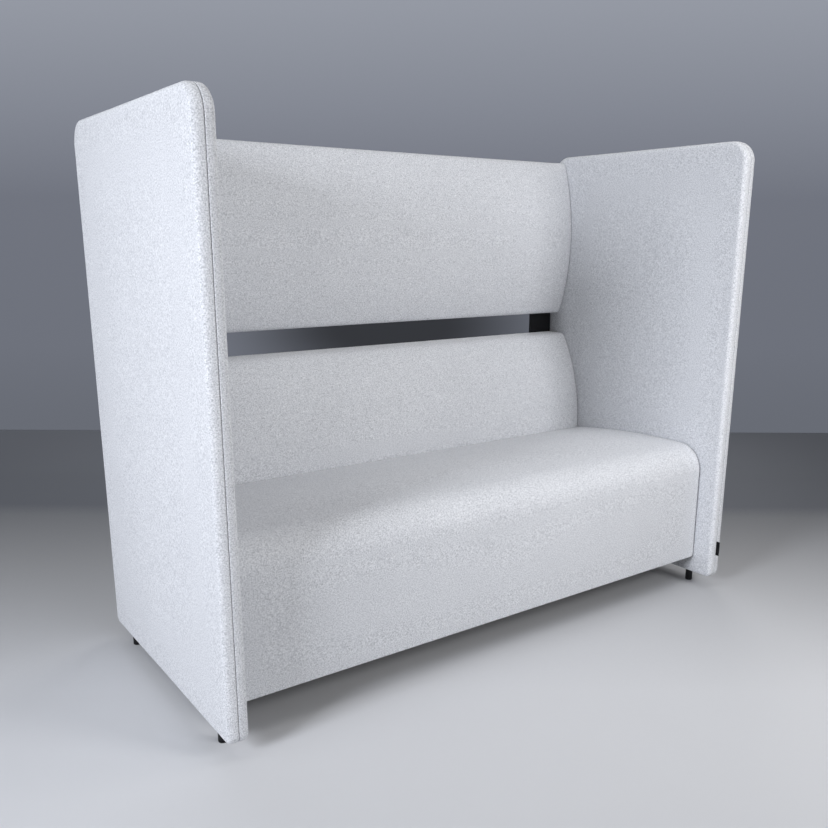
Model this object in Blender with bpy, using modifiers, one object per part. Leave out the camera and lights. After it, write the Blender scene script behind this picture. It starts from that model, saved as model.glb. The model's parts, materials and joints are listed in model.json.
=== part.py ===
"""High-backed three-seat sofa between two upholstered side screens.

The screens stand on four levelling feet and carry a seat box, a lower back and an upper back,
with an open slot between the backs where two black steel uprights show.
Metres, +Z up, front towards -Y, origin on the floor midway between the screens.
"""

import math

import bmesh
import bpy
from mathutils import Matrix

# Overall sizes
OVERALL_WIDTH = 1.700
OVERALL_HEIGHT = 1.380
SCREEN_DEPTH = 0.787

# Upholstery common to all pieces
COVER_THICKNESS = 0.0015
CLEARANCE = 0.0003

# Side screens
SCREEN_THICKNESS = 0.050
SCREEN_CORNER_RADIUS = 0.060
SCREEN_INNER_EDGE_RADIUS = 0.016
SCREEN_OUTER_EDGE_FALL = 0.012
SCREEN_BOARD_THICKNESS = 0.018
SCREEN_FOAM_LIP = 0.012
SEAM_TAB_HEIGHT = 0.046
SEAM_TAB_REACH = 0.010
SEAM_TAB_THICKNESS = 0.001
SEAM_TAB_BASE_HEIGHT = 0.114

# Levelling feet and their threaded sleeves
FOOT_HEIGHT = 0.038
FOOT_DIAMETER = 0.022
FOOT_SETBACK = 0.096
FOOT_CHAMFER = 0.001
FOOT_STEM_DIAMETER = 0.008
FOOT_TRAVEL = 0.010
FOOT_THREAD_ENGAGEMENT = 0.024
SLEEVE_DIAMETER = 0.012
SLEEVE_DEPTH_IN_BOARD = 0.030
SLEEVE_HOLE_ALLOWANCE = 0.002

# Seat box
SEAT_FRONT_SETBACK = 0.0635
SEAT_BOTTOM_HEIGHT = 0.096
SEAT_HEIGHT = 0.467
SEAT_CROWN_RADIUS = 2.300
SEAT_CROWN_SETBACK = 0.140
SEAT_NOSE_RADIUS = 0.080
SEAT_EDGE_RADIUS = 0.008
SEAT_HEM = 0.022
SEAT_DECK_HEIGHT = 0.330
SEAT_FRONT_FOAM = 0.030
RAIL_THICKNESS = 0.022
CROSS_RAIL_DROP = 0.060
CROSS_RAIL_COUNT = 2
WEBBING_COUNT = 6
WEBBING_WIDTH = 0.060
WEBBING_THICKNESS = 0.002

# Backs
CUSHION_END_RADIUS = 0.005
BACK_REAR_SETBACK = 0.002
BACK_EDGE_RADIUS = 0.007
BACK_BOARD_THICKNESS = 0.018
BACK_SLOT_HEIGHT = 0.074
LOWER_BACK_TOP_HEIGHT = 0.764
LOWER_BACK_DEPTH = 0.1742
LOWER_BACK_LEAN_HEIGHT = 0.450
LOWER_BACK_LEAN = 0.0922
LOWER_BACK_TOP_RADIUS = 0.025
UPPER_BACK_TOP_DROP = 0.022
UPPER_BACK_DEPTH = 0.1015
UPPER_BACK_BULGE = 0.0469
UPPER_BACK_TOP_RADIUS = 0.020

# Steel uprights that carry the upper back
UPRIGHT_WIDTH = 0.100
UPRIGHT_THICKNESS = 0.005
UPRIGHT_FLANGE = 0.040
UPRIGHT_REAR_PAD = 0.002
UPRIGHT_LOWER_REACH = 0.320
UPRIGHT_TOP_DROP = 0.120
UPRIGHT_FLANGE_MARGIN = 0.030

# Connecting bolts and their tee nuts
BOLT_DIAMETER = 0.008
BOLT_HEAD_DIAMETER = 0.014
BOLT_HEAD_HEIGHT = 0.005
BOLT_GRIP_IN_BOARD = 0.013
BOLT_HEAD_POCKET = 0.0015
SEAT_BOLT_HEIGHT = 0.220
SEAT_BOLT_END_DISTANCE = 0.090
BACK_BOLT_EDGE_DISTANCE = 0.014
TEE_NUT_FLANGE_DIAMETER = 0.020
TEE_NUT_FLANGE_THICKNESS = 0.0015
TEE_NUT_BARREL_DIAMETER = 0.011
TEE_NUT_BARREL_LENGTH = 0.011

# Facet counts
CORNER_STEPS = 6
EDGE_STEPS = 4
BULGE_STEPS = 8
FILLET_STEPS = 4
FOOT_STEPS = 20
BOLT_STEPS = 12
END_RESOLUTION = 1


def bulge_radius(half_span, rise):
    """Radius of the arc that rises by a given amount over half its span."""
    return (half_span ** 2 + rise ** 2) / (2 * rise)


# Planes and places that follow from the sizes above
SCREEN_SEAM_DEPTH = SCREEN_THICKNESS / 2
INNER_X = OVERALL_WIDTH / 2 - SCREEN_THICKNESS
CUSHION_HALF_WIDTH = INNER_X - CLEARANCE
FRAME_HALF_WIDTH = CUSHION_HALF_WIDTH - COVER_THICKNESS - CLEARANCE
LINING = COVER_THICKNESS + CLEARANCE
BOARD_FACE_DEPTH = (SCREEN_THICKNESS - SCREEN_BOARD_THICKNESS) / 2
BOARD_INSET = LINING + SCREEN_FOAM_LIP + CLEARANCE
SCREEN_FRONT_Y = -SCREEN_DEPTH / 2
SEAT_FRONT_Y = SCREEN_FRONT_Y + SEAT_FRONT_SETBACK
BACK_REAR_Y = SCREEN_DEPTH / 2 - BACK_REAR_SETBACK
LOWER_BACK_FRONT_Y = BACK_REAR_Y - LOWER_BACK_DEPTH
LOWER_BACK_BULGE_RADIUS = bulge_radius(LOWER_BACK_TOP_HEIGHT - LOWER_BACK_LEAN_HEIGHT, LOWER_BACK_LEAN)
SEAT_REAR_Y = LOWER_BACK_FRONT_Y - CLEARANCE
BOARD_REAR_Y = BACK_REAR_Y - LINING
BOARD_FRONT_Y = BOARD_REAR_Y - BACK_BOARD_THICKNESS
UPPER_BACK_BOTTOM_HEIGHT = LOWER_BACK_TOP_HEIGHT + BACK_SLOT_HEIGHT
UPPER_BACK_TOP_HEIGHT = OVERALL_HEIGHT - UPPER_BACK_TOP_DROP
UPPER_BACK_FRONT_Y = BACK_REAR_Y - UPPER_BACK_DEPTH
UPPER_BACK_BULGE_HEIGHT = (UPPER_BACK_BOTTOM_HEIGHT + UPPER_BACK_TOP_HEIGHT) / 2
UPPER_BACK_BULGE_RADIUS = bulge_radius(UPPER_BACK_TOP_HEIGHT - UPPER_BACK_BULGE_HEIGHT, UPPER_BACK_BULGE)
RAIL_FRONT_Y = SEAT_FRONT_Y + LINING + SEAT_FRONT_FOAM + CLEARANCE
RAIL_REAR_Y = SEAT_REAR_Y - LINING
RAIL_BOTTOM = SEAT_BOTTOM_HEIGHT + LINING
RAIL_INNER_X = FRAME_HALF_WIDTH - RAIL_THICKNESS
FOAM_BOTTOM = SEAT_DECK_HEIGHT + WEBBING_THICKNESS + 2 * CLEARANCE
UPRIGHT_REAR_Y = BOARD_REAR_Y - UPRIGHT_REAR_PAD
UPRIGHT_FRONT_Y = UPRIGHT_REAR_Y - UPRIGHT_THICKNESS
UPRIGHT_LOW = LOWER_BACK_TOP_HEIGHT - UPRIGHT_LOWER_REACH
UPRIGHT_HIGH = UPPER_BACK_TOP_HEIGHT - UPRIGHT_TOP_DROP
FLANGE_INNER_X = FRAME_HALF_WIDTH - UPRIGHT_THICKNESS
FLANGE_FRONT_Y = UPRIGHT_REAR_Y - UPRIGHT_FLANGE
BACK_CORE_HALF_WIDTH = FLANGE_INNER_X - CLEARANCE
BOLT_HOLE_RADIUS = BOLT_DIAMETER / 2 + CLEARANCE
FOOT_Y = SCREEN_DEPTH / 2 - FOOT_SETBACK
SEAM_X = INNER_X + SCREEN_SEAM_DEPTH

SIDES = {"left": -1, "right": 1}
OUTLINE_TO_WORLD = Matrix(((0, 0, 1, 0), (1, 0, 0, 0), (0, 1, 0, 0), (0, 0, 0, 1)))
WELD_DISTANCE = 0.00001
SMOOTH_ANGLE = math.radians(40)

# Finishes: colour, roughness, metallic
FINISHES = {
    "light_grey_wool": ((0.62, 0.63, 0.66), 0.95, 0.0),
    "upholstery_foam": ((0.86, 0.82, 0.66), 0.90, 0.0),
    "plywood": ((0.67, 0.51, 0.33), 0.65, 0.0),
    "black_steel": ((0.012, 0.012, 0.013), 0.55, 0.6),
    "black_plastic": ((0.015, 0.015, 0.017), 0.50, 0.0),
    "zinc_steel": ((0.62, 0.62, 0.60), 0.35, 1.0),
    "elastic_webbing": ((0.05, 0.05, 0.055), 0.85, 0.0),
    "black_lining": ((0.02, 0.02, 0.022), 0.95, 0.0),
    "black_tab": ((0.012, 0.012, 0.014), 0.80, 0.0),
}


def start_scene():
    """Empty the scene and make the collections and the parent of all pieces."""
    for old in list(bpy.data.objects):
        bpy.data.objects.remove(old)
    parts = bpy.data.collections.new("high_back_sofa")
    cutters = bpy.data.collections.new("cutters")
    bpy.context.scene.collection.children.link(parts)
    bpy.context.scene.collection.children.link(cutters)
    root = bpy.data.objects.new("sofa", None)
    parts.objects.link(root)
    return parts, cutters, root


def make_materials():
    """One Principled material for each finish."""
    made = {}
    for name, (colour, roughness, metallic) in FINISHES.items():
        made[name] = bpy.data.materials.new(name)
        made[name].use_nodes = True
        shader = made[name].node_tree.nodes["Principled BSDF"]
        shader.inputs["Base Color"].default_value = (*colour, 1.0)
        shader.inputs["Roughness"].default_value = roughness
        shader.inputs["Metallic"].default_value = metallic
    return made


PARTS, CUTTERS, ROOT = start_scene()
MATERIALS = make_materials()


def piece(name, mesh, finish):
    """Add a mesh as one named sub-part of the sofa."""
    mesh.materials.append(MATERIALS[finish])
    made = bpy.data.objects.new(name, mesh)
    PARTS.objects.link(made)
    made.parent = ROOT
    return made


def cutter(name, mesh):
    """Add a mesh as a tool body that cuts other pieces."""
    made = bpy.data.objects.new(name, mesh)
    CUTTERS.objects.link(made)
    made.hide_render = True
    made.display_type = "WIRE"
    return made


def cut(target, tool):
    """Cut a tool body out of a piece."""
    step = target.modifiers.new(tool.name, "BOOLEAN")
    step.operation = "DIFFERENCE"
    step.solver = "EXACT"
    step.object = tool


def finish_mesh(name, bm):
    """Turn an edit mesh into a mesh with smooth rounds and crisp edges."""
    bmesh.ops.recalc_face_normals(bm, faces=bm.faces)
    mesh = bpy.data.meshes.new(name)
    bm.to_mesh(mesh)
    bm.free()
    mesh.shade_smooth()
    mesh.set_sharp_from_angle(angle=SMOOTH_ANGLE)
    return mesh


def box(name, low, high):
    """A block between two opposite corners."""
    bm = bmesh.new()
    bmesh.ops.create_cube(bm, size=1.0)
    size = [b - a for a, b in zip(low, high)]
    centre = [(a + b) / 2 for a, b in zip(low, high)]
    place = Matrix.Translation(centre) @ Matrix.Diagonal((*size, 1.0))
    bmesh.ops.transform(bm, matrix=place, verts=bm.verts)
    return finish_mesh(name, bm)


def side_box(name, side, near, far):
    """A block on one side of the sofa: X runs outwards from the middle plane."""
    ends = sorted((side * near[0], side * far[0]))
    return box(name, (ends[0], *near[1:]), (ends[1], *far[1:]))


def rod(name, radius, start, end):
    """A cylinder between two points, for holes."""
    axis = [b - a for a, b in zip(start, end)]
    length = math.sqrt(sum(part * part for part in axis))
    turn = Matrix.Rotation(math.pi / 2, 4, "Y") if abs(axis[0]) > abs(axis[2]) else Matrix()
    centre = [(a + b) / 2 for a, b in zip(start, end)]
    bm = bmesh.new()
    bmesh.ops.create_cone(
        bm, cap_ends=True, segments=BOLT_STEPS, radius1=radius, radius2=radius, depth=length,
        matrix=Matrix.Translation(centre) @ turn)
    return finish_mesh(name, bm)


def turned(name, profile, finish, steps, closed=False):
    """A piece turned about its own Z axis from a profile of (radius, height) points."""
    bm = bmesh.new()
    corners = [bm.verts.new((radius, 0.0, height)) for radius, height in profile]
    for start, end in zip(corners, corners[1:]):
        bm.edges.new((start, end))
    if closed:
        bm.edges.new((corners[-1], corners[0]))
    mesh = bpy.data.meshes.new(name)
    bm.to_mesh(mesh)
    bm.free()
    made = piece(name, mesh, finish)
    screw = made.modifiers.new("turn", "SCREW")
    screw.axis = "Z"
    screw.steps = steps
    screw.render_steps = steps
    screw.use_merge_vertices = True
    screw.merge_threshold = WELD_DISTANCE
    return made


def arc(centre_y, centre_z, radius, start, end, steps):
    """Points (y, z) along an arc, from one angle to another in radians."""
    turns = [start + (end - start) * step / steps for step in range(steps + 1)]
    return [(centre_y + radius * math.cos(a), centre_z + radius * math.sin(a)) for a in turns]


def extrusion(name, outline, half_length, end_radius=0.0):
    """A solid of constant (y, z) outline along X, with its end edges rounded."""
    curve = bpy.data.curves.new(name, "CURVE")
    curve.dimensions = "2D"
    curve.fill_mode = "BOTH"
    curve.extrude = half_length - end_radius
    curve.bevel_depth = end_radius
    curve.bevel_resolution = END_RESOLUTION
    curve.offset = -end_radius
    spline = curve.splines.new("POLY")
    spline.points.add(len(outline) - 1)
    for point, (y, z) in zip(spline.points, outline):
        point.co = (y, z, 0.0, 1.0)
    spline.use_cyclic_u = True
    guide = bpy.data.objects.new(name, curve)
    CUTTERS.objects.link(guide)
    graph = bpy.context.evaluated_depsgraph_get()
    drawn = bpy.data.meshes.new_from_object(guide.evaluated_get(graph))
    bpy.data.objects.remove(guide)
    bm = bmesh.new()
    bm.from_mesh(drawn)
    bpy.data.meshes.remove(drawn)
    bmesh.ops.remove_doubles(bm, verts=bm.verts, dist=WELD_DISTANCE)
    bmesh.ops.transform(bm, matrix=OUTLINE_TO_WORLD, verts=bm.verts)
    return finish_mesh(name, bm)


def clip(outline, axis, limit, keep_above):
    """The part of a closed outline on one side of a line: axis 0 is y, axis 1 is z."""
    sign = 1 if keep_above else -1
    kept = []
    for start, end in zip(outline, outline[1:] + outline[:1]):
        before = sign * (start[axis] - limit)
        after = sign * (end[axis] - limit)
        if before >= 0:
            kept.append(start)
        if before * after < 0:
            share = before / (before - after)
            kept.append(tuple(a + (b - a) * share for a, b in zip(start, end)))
    return kept


def loft(name, rings):
    """A solid skinned over a chain of rings with equal point counts, capped at both ends."""
    bm = bmesh.new()
    loops = [[bm.verts.new(point) for point in ring] for ring in rings]
    for lower, upper in zip(loops, loops[1:]):
        for index in range(len(lower)):
            bm.faces.new((lower[index - 1], lower[index], upper[index], upper[index - 1]))
    bm.faces.new(loops[0])
    bm.faces.new(loops[-1])
    return finish_mesh(name, bm)


def screen_outline(inset):
    """Rounded outline of a side screen, drawn in by an inset."""
    radius = SCREEN_CORNER_RADIUS - inset
    reach = SCREEN_DEPTH / 2 - SCREEN_CORNER_RADIUS
    low = FOOT_HEIGHT + SCREEN_CORNER_RADIUS
    high = OVERALL_HEIGHT - SCREEN_CORNER_RADIUS
    corners = ((reach, high), (-reach, high), (-reach, low), (reach, low))
    outline = []
    for quarter, (y, z) in enumerate(corners):
        start = quarter * math.pi / 2
        outline += arc(y, z, radius, start, start + math.pi / 2, CORNER_STEPS)
    return outline


def screen_solid(name, side, section):
    """Skin a section of (inset, depth from the inner face) round a screen's outline."""
    rings = []
    for inset, depth in section:
        x = side * (INNER_X + depth)
        rings.append([(x, y, z) for y, z in screen_outline(inset)])
    return loft(name, rings)


def edge_section(fall, run, inset):
    """Rounded edge from a face to the rim, as (inset, depth) points, drawn in by an inset."""
    section = []
    for step in range(EDGE_STEPS + 1):
        angle = math.pi / 2 * step / EDGE_STEPS
        across = inset + (fall - inset) * (1 - math.sin(angle))
        down = inset + (run - inset) * (1 - math.cos(angle))
        section.append((across, down))
    return section


def screen_half(fall, run, rim):
    """Sections of the cover and of the foam on one face, both measured from that face."""
    straight = [] if run == rim else [rim]
    cover = edge_section(fall, run, 0.0) + [(0.0, depth) for depth in straight]
    lining = edge_section(fall, run, COVER_THICKNESS)
    lining += [(COVER_THICKNESS, depth) for depth in straight]
    foam = edge_section(fall, run, LINING) + [(LINING, depth) for depth in straight]
    pocket = BOARD_INSET - CLEARANCE
    foam += [(pocket, rim), (pocket, BOARD_FACE_DEPTH - CLEARANCE)]
    return cover + lining[::-1], foam


def foot_places():
    """Names, sides and depths of the four feet."""
    for side_name, side in SIDES.items():
        for end_name, y in (("front", -FOOT_Y), ("rear", FOOT_Y)):
            yield f"{end_name}_{side_name}", side, y


def bolt_places():
    """Name, side, depth, height and head seat of each connecting bolt."""
    seat_ends = (
        ("front", RAIL_FRONT_Y + SEAT_BOLT_END_DISTANCE),
        ("rear", RAIL_REAR_Y - SEAT_BOLT_END_DISTANCE),
    )
    flange_y = FLANGE_FRONT_Y + BACK_BOLT_EDGE_DISTANCE
    lower_z = (UPRIGHT_LOW + LOWER_BACK_TOP_HEIGHT) / 2
    upper_z = (UPRIGHT_HIGH + UPPER_BACK_BOTTOM_HEIGHT) / 2
    for side_name, side in SIDES.items():
        for end_name, y in seat_ends:
            yield f"seat_{end_name}_{side_name}", side, y, SEAT_BOLT_HEIGHT, RAIL_INNER_X
        yield f"lower_back_{side_name}", side, flange_y, lower_z, FLANGE_INNER_X
        yield f"upper_back_{side_name}", side, flange_y, upper_z, FLANGE_INNER_X


def make_hole_cutters():
    """Tool bodies for the sleeve holes, bolt holes, tee-nut seats and bolt-head pockets."""
    holes = {}
    hole_top = FOOT_HEIGHT + BOARD_INSET + SLEEVE_DEPTH_IN_BOARD + SLEEVE_HOLE_ALLOWANCE
    for place, side, y in foot_places():
        x = side * SEAM_X
        radius = SLEEVE_DIAMETER / 2 + CLEARANCE
        mesh = rod(f"cut_sleeve_{place}", radius, (x, y, FOOT_HEIGHT / 2), (x, y, hole_top))
        holes[f"sleeve_{place}"] = cutter(mesh.name, mesh)
    board_inner = INNER_X + BOARD_FACE_DEPTH
    board_outer = board_inner + SCREEN_BOARD_THICKNESS
    for place, side, y, z, head_x in bolt_places():
        cuts = (
            ("bolt", BOLT_HOLE_RADIUS, head_x - BOLT_HEAD_HEIGHT, board_outer),
            ("barrel", TEE_NUT_BARREL_DIAMETER / 2 + CLEARANCE, INNER_X, OVERALL_WIDTH / 2),
            ("flange", TEE_NUT_FLANGE_DIAMETER / 2 + CLEARANCE,
             board_outer - TEE_NUT_FLANGE_THICKNESS - CLEARANCE, OVERALL_WIDTH / 2),
            ("head", BOLT_HEAD_DIAMETER / 2 + BOLT_HEAD_POCKET,
             head_x - BOLT_HEAD_HEIGHT - BOLT_HEAD_POCKET, head_x + BOLT_HEAD_POCKET),
        )
        for kind, radius, near, far in cuts:
            mesh = rod(f"cut_{kind}_{place}", radius, (side * near, y, z), (side * far, y, z))
            holes[f"{kind}_{place}"] = cutter(mesh.name, mesh)
    return holes


HOLES = make_hole_cutters()


def make_screens():
    """Each side screen: a plywood board between two foam trays, in a cover sewn from two halves."""
    rim = SCREEN_SEAM_DEPTH - CLEARANCE / 2
    inner_cover, inner_foam = screen_half(SCREEN_INNER_EDGE_RADIUS, SCREEN_INNER_EDGE_RADIUS, rim)
    outer_rim = SCREEN_THICKNESS - SCREEN_SEAM_DEPTH - CLEARANCE / 2
    outer_cover, outer_foam = screen_half(SCREEN_OUTER_EDGE_FALL, outer_rim, outer_rim)
    outer_cover = [(inset, SCREEN_THICKNESS - depth) for inset, depth in outer_cover]
    outer_foam = [(inset, SCREEN_THICKNESS - depth) for inset, depth in outer_foam]
    board = [(BOARD_INSET, BOARD_FACE_DEPTH), (BOARD_INSET, SCREEN_THICKNESS - BOARD_FACE_DEPTH)]
    layers = (
        ("board", board, "plywood", ("sleeve", "barrel", "flange")),
        ("foam_inner", inner_foam, "upholstery_foam", ("sleeve", "bolt")),
        ("foam_outer", outer_foam, "upholstery_foam", ("sleeve",)),
        ("cover_inner", inner_cover, "light_grey_wool", ("sleeve", "bolt")),
        ("cover_outer", outer_cover, "light_grey_wool", ("sleeve",)),
    )
    for side_name, side in SIDES.items():
        for layer, section, finish, cuts in layers:
            name = f"screen_{side_name}_{layer}"
            made = piece(name, screen_solid(name, side, section), finish)
            for kind in cuts:
                for place, tool in HOLES.items():
                    if place.startswith(f"{kind}_") and place.endswith(f"_{side_name}"):
                        cut(made, tool)


def make_seam_tab():
    """Blank black tab sewn into the front seam of the right screen."""
    root_y = SCREEN_FRONT_Y - CLEARANCE
    low = (SEAM_X - SEAM_TAB_THICKNESS / 2, root_y - SEAM_TAB_REACH, SEAM_TAB_BASE_HEIGHT)
    high = (SEAM_X + SEAM_TAB_THICKNESS / 2, root_y, SEAM_TAB_BASE_HEIGHT + SEAM_TAB_HEIGHT)
    piece("seam_tab", box("seam_tab", low, high), "black_tab")


def make_feet():
    """Four turned levelling feet, each screwed into a sleeve in the edge of a screen board."""
    radius = FOOT_DIAMETER / 2
    stem = FOOT_STEM_DIAMETER / 2
    shoulder = FOOT_HEIGHT - CLEARANCE
    tip = FOOT_HEIGHT + FOOT_TRAVEL + FOOT_THREAD_ENGAGEMENT
    foot_profile = [
        (0.0, tip), (stem, tip), (stem, shoulder), (radius - FOOT_CHAMFER, shoulder),
        (radius, shoulder - FOOT_CHAMFER), (radius, FOOT_CHAMFER), (radius - FOOT_CHAMFER, 0.0),
        (0.0, 0.0)]
    sleeve_top = FOOT_HEIGHT + BOARD_INSET + SLEEVE_DEPTH_IN_BOARD
    outer = SLEEVE_DIAMETER / 2
    bore = stem + CLEARANCE
    sleeve_profile = [
        (outer, sleeve_top), (outer, FOOT_HEIGHT), (bore, FOOT_HEIGHT), (bore, sleeve_top)]
    for place, side, y in foot_places():
        foot = turned(f"foot_{place}", foot_profile, "black_plastic", FOOT_STEPS)
        sleeve = turned(f"foot_sleeve_{place}", sleeve_profile, "zinc_steel", BOLT_STEPS, True)
        for made in (foot, sleeve):
            made.location = (side * SEAM_X, y, 0.0)


def seat_outline(inset):
    """Closed (y, z) outline of the seat block, drawn in by an inset."""
    edge = SEAT_EDGE_RADIUS
    crown_y = SEAT_FRONT_Y + SEAT_CROWN_SETBACK
    crown_z = SEAT_HEIGHT - SEAT_CROWN_RADIUS
    nose_y = SEAT_FRONT_Y + SEAT_NOSE_RADIUS
    nose_z = crown_z + math.sqrt((SEAT_CROWN_RADIUS - SEAT_NOSE_RADIUS) ** 2 - (nose_y - crown_y) ** 2)
    heel_y = SEAT_REAR_Y - edge
    heel_z = crown_z + math.sqrt((SEAT_CROWN_RADIUS - edge) ** 2 - (heel_y - crown_y) ** 2)
    nose_turn = math.atan2(nose_z - crown_z, nose_y - crown_y)
    heel_turn = math.atan2(heel_z - crown_z, heel_y - crown_y)
    low_z = SEAT_BOTTOM_HEIGHT + edge
    half_turn = math.pi
    outline = arc(heel_y, low_z, edge - inset, -half_turn / 2, 0.0, FILLET_STEPS)
    outline += arc(heel_y, heel_z, edge - inset, 0.0, heel_turn, FILLET_STEPS)
    outline += arc(crown_y, crown_z, SEAT_CROWN_RADIUS - inset, heel_turn, nose_turn, BULGE_STEPS)[1:]
    outline += arc(nose_y, nose_z, SEAT_NOSE_RADIUS - inset, nose_turn, half_turn, BULGE_STEPS)[1:]
    outline += arc(SEAT_FRONT_Y + edge, low_z, edge - inset, half_turn, half_turn * 1.5, FILLET_STEPS)
    return outline


def make_seat_frame():
    """Plywood box of the seat, with elastic webbing strapped from rail to rail."""
    top = SEAT_DECK_HEIGHT
    inside = RAIL_INNER_X - CLEARANCE
    rails = {
        "seat_rail_front": ((-inside, RAIL_FRONT_Y, RAIL_BOTTOM),
                            (inside, RAIL_FRONT_Y + RAIL_THICKNESS, top)),
        "seat_rail_rear": ((-inside, RAIL_REAR_Y - RAIL_THICKNESS, RAIL_BOTTOM),
                           (inside, RAIL_REAR_Y, top)),
    }
    between = (RAIL_FRONT_Y + RAIL_THICKNESS + CLEARANCE, RAIL_REAR_Y - RAIL_THICKNESS - CLEARANCE)
    for number in range(1, CROSS_RAIL_COUNT + 1):
        x = -inside + 2 * inside * number / (CROSS_RAIL_COUNT + 1)
        rails[f"seat_rail_cross_{number}"] = (
            (x - RAIL_THICKNESS / 2, between[0], RAIL_BOTTOM),
            (x + RAIL_THICKNESS / 2, between[1], top - CROSS_RAIL_DROP))
    for name, (low, high) in rails.items():
        ease_edges(piece(name, box(name, low, high), "plywood"))
    for side_name, side in SIDES.items():
        name = f"seat_rail_{side_name}"
        mesh = side_box(name, side, (RAIL_INNER_X, RAIL_FRONT_Y, RAIL_BOTTOM),
                        (FRAME_HALF_WIDTH, RAIL_REAR_Y, top))
        rail = piece(name, mesh, "plywood")
        ease_edges(rail)
        for end_name in ("front", "rear"):
            cut(rail, HOLES[f"bolt_seat_{end_name}_{side_name}"])
    pitch = 2 * inside / WEBBING_COUNT
    for number in range(1, WEBBING_COUNT + 1):
        x = -inside + pitch * (number - 0.5)
        name = f"seat_webbing_{number}"
        low = (x - WEBBING_WIDTH / 2, RAIL_FRONT_Y, top + CLEARANCE)
        high = (x + WEBBING_WIDTH / 2, RAIL_REAR_Y, top + CLEARANCE + WEBBING_THICKNESS)
        piece(name, box(name, low, high), "elastic_webbing")


def ease_edges(rail):
    """Round the arrises of a timber so that it sits inside the rounded cover."""
    bevel = rail.modifiers.new("eased_edges", "BEVEL")
    bevel.width = SEAT_EDGE_RADIUS
    bevel.segments = 2


def make_seat_upholstery():
    """Seat foam, front foam, the cover with its turned-under hem, and the lining below."""
    end_radius = CUSHION_END_RADIUS
    name = "seat_cover"
    cover = piece(name, extrusion(name, seat_outline(0.0), CUSHION_HALF_WIDTH, end_radius),
                  "light_grey_wool")
    hollow = extrusion("cut_seat_hollow", seat_outline(COVER_THICKNESS),
                       CUSHION_HALF_WIDTH - COVER_THICKNESS, end_radius - COVER_THICKNESS)
    cut(cover, cutter(hollow.name, hollow))
    open_low = (-CUSHION_HALF_WIDTH + SEAT_HEM, SEAT_FRONT_Y + SEAT_HEM, SEAT_BOTTOM_HEIGHT)
    open_high = (CUSHION_HALF_WIDTH - SEAT_HEM, SEAT_REAR_Y - SEAT_HEM, SEAT_BOTTOM_HEIGHT)
    mouth = box("cut_seat_mouth", (*open_low[:2], SEAT_BOTTOM_HEIGHT / 2),
                (*open_high[:2], SEAT_BOTTOM_HEIGHT + SEAT_HEM))
    cut(cover, cutter(mouth.name, mouth))
    for place, tool in HOLES.items():
        if place.startswith("bolt_seat_"):
            cut(cover, tool)
    lining_low = tuple(value + CLEARANCE for value in open_low[:2])
    lining_high = tuple(value - CLEARANCE for value in open_high[:2])
    name = "seat_lining"
    lining = box(name, (*lining_low, SEAT_BOTTOM_HEIGHT),
                 (*lining_high, SEAT_BOTTOM_HEIGHT + COVER_THICKNESS))
    piece(name, lining, "black_lining")
    inside = seat_outline(LINING)
    foam_end = end_radius - LINING
    name = "seat_foam_top"
    top = clip(inside, 1, FOAM_BOTTOM, True)
    piece(name, extrusion(name, top, FRAME_HALF_WIDTH, foam_end), "upholstery_foam")
    name = "seat_foam_front"
    front = clip(inside, 1, FOAM_BOTTOM - CLEARANCE, False)
    front = clip(front, 0, RAIL_FRONT_Y - CLEARANCE, False)
    piece(name, extrusion(name, front, FRAME_HALF_WIDTH, foam_end), "upholstery_foam")


def bulge_corner(front_y, bulge_z, bulge_radius, edge_z, edge_radius):
    """Centre of the round between a bulged front and a level edge, and the angle where they meet."""
    way = 1 if edge_z > bulge_z else -1
    z = edge_z - way * edge_radius
    centre_y = front_y + bulge_radius
    y = centre_y - math.sqrt((bulge_radius - edge_radius) ** 2 - (z - bulge_z) ** 2)
    return y, z, math.atan2(way * (z - bulge_z), y - centre_y) * way % (2 * math.pi)


def back_rear(low_z, high_z, inset):
    """Rear corners of a back, from its underside round to its top."""
    edge = BACK_EDGE_RADIUS
    y = BACK_REAR_Y - edge
    outline = arc(y, low_z + edge, edge - inset, -math.pi / 2, 0.0, FILLET_STEPS)
    return outline + arc(y, high_z - edge, edge - inset, 0.0, math.pi / 2, FILLET_STEPS)


def lower_back_outline(inset):
    """Closed (y, z) outline of the lower back: upright behind the seat, then curving away."""
    low_z = SEAT_BOTTOM_HEIGHT
    high_z = LOWER_BACK_TOP_HEIGHT
    y, z, turn = bulge_corner(LOWER_BACK_FRONT_Y, LOWER_BACK_LEAN_HEIGHT, LOWER_BACK_BULGE_RADIUS,
                              high_z, LOWER_BACK_TOP_RADIUS)
    outline = back_rear(low_z, high_z, inset)
    outline += arc(y, z, LOWER_BACK_TOP_RADIUS - inset, math.pi / 2, turn, FILLET_STEPS)
    outline += arc(LOWER_BACK_FRONT_Y + LOWER_BACK_BULGE_RADIUS, LOWER_BACK_LEAN_HEIGHT,
                   LOWER_BACK_BULGE_RADIUS - inset, turn, math.pi, BULGE_STEPS)[1:]
    outline += arc(LOWER_BACK_FRONT_Y + BACK_EDGE_RADIUS, low_z + BACK_EDGE_RADIUS,
                   BACK_EDGE_RADIUS - inset, math.pi, math.pi * 1.5, FILLET_STEPS)
    return outline


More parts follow.
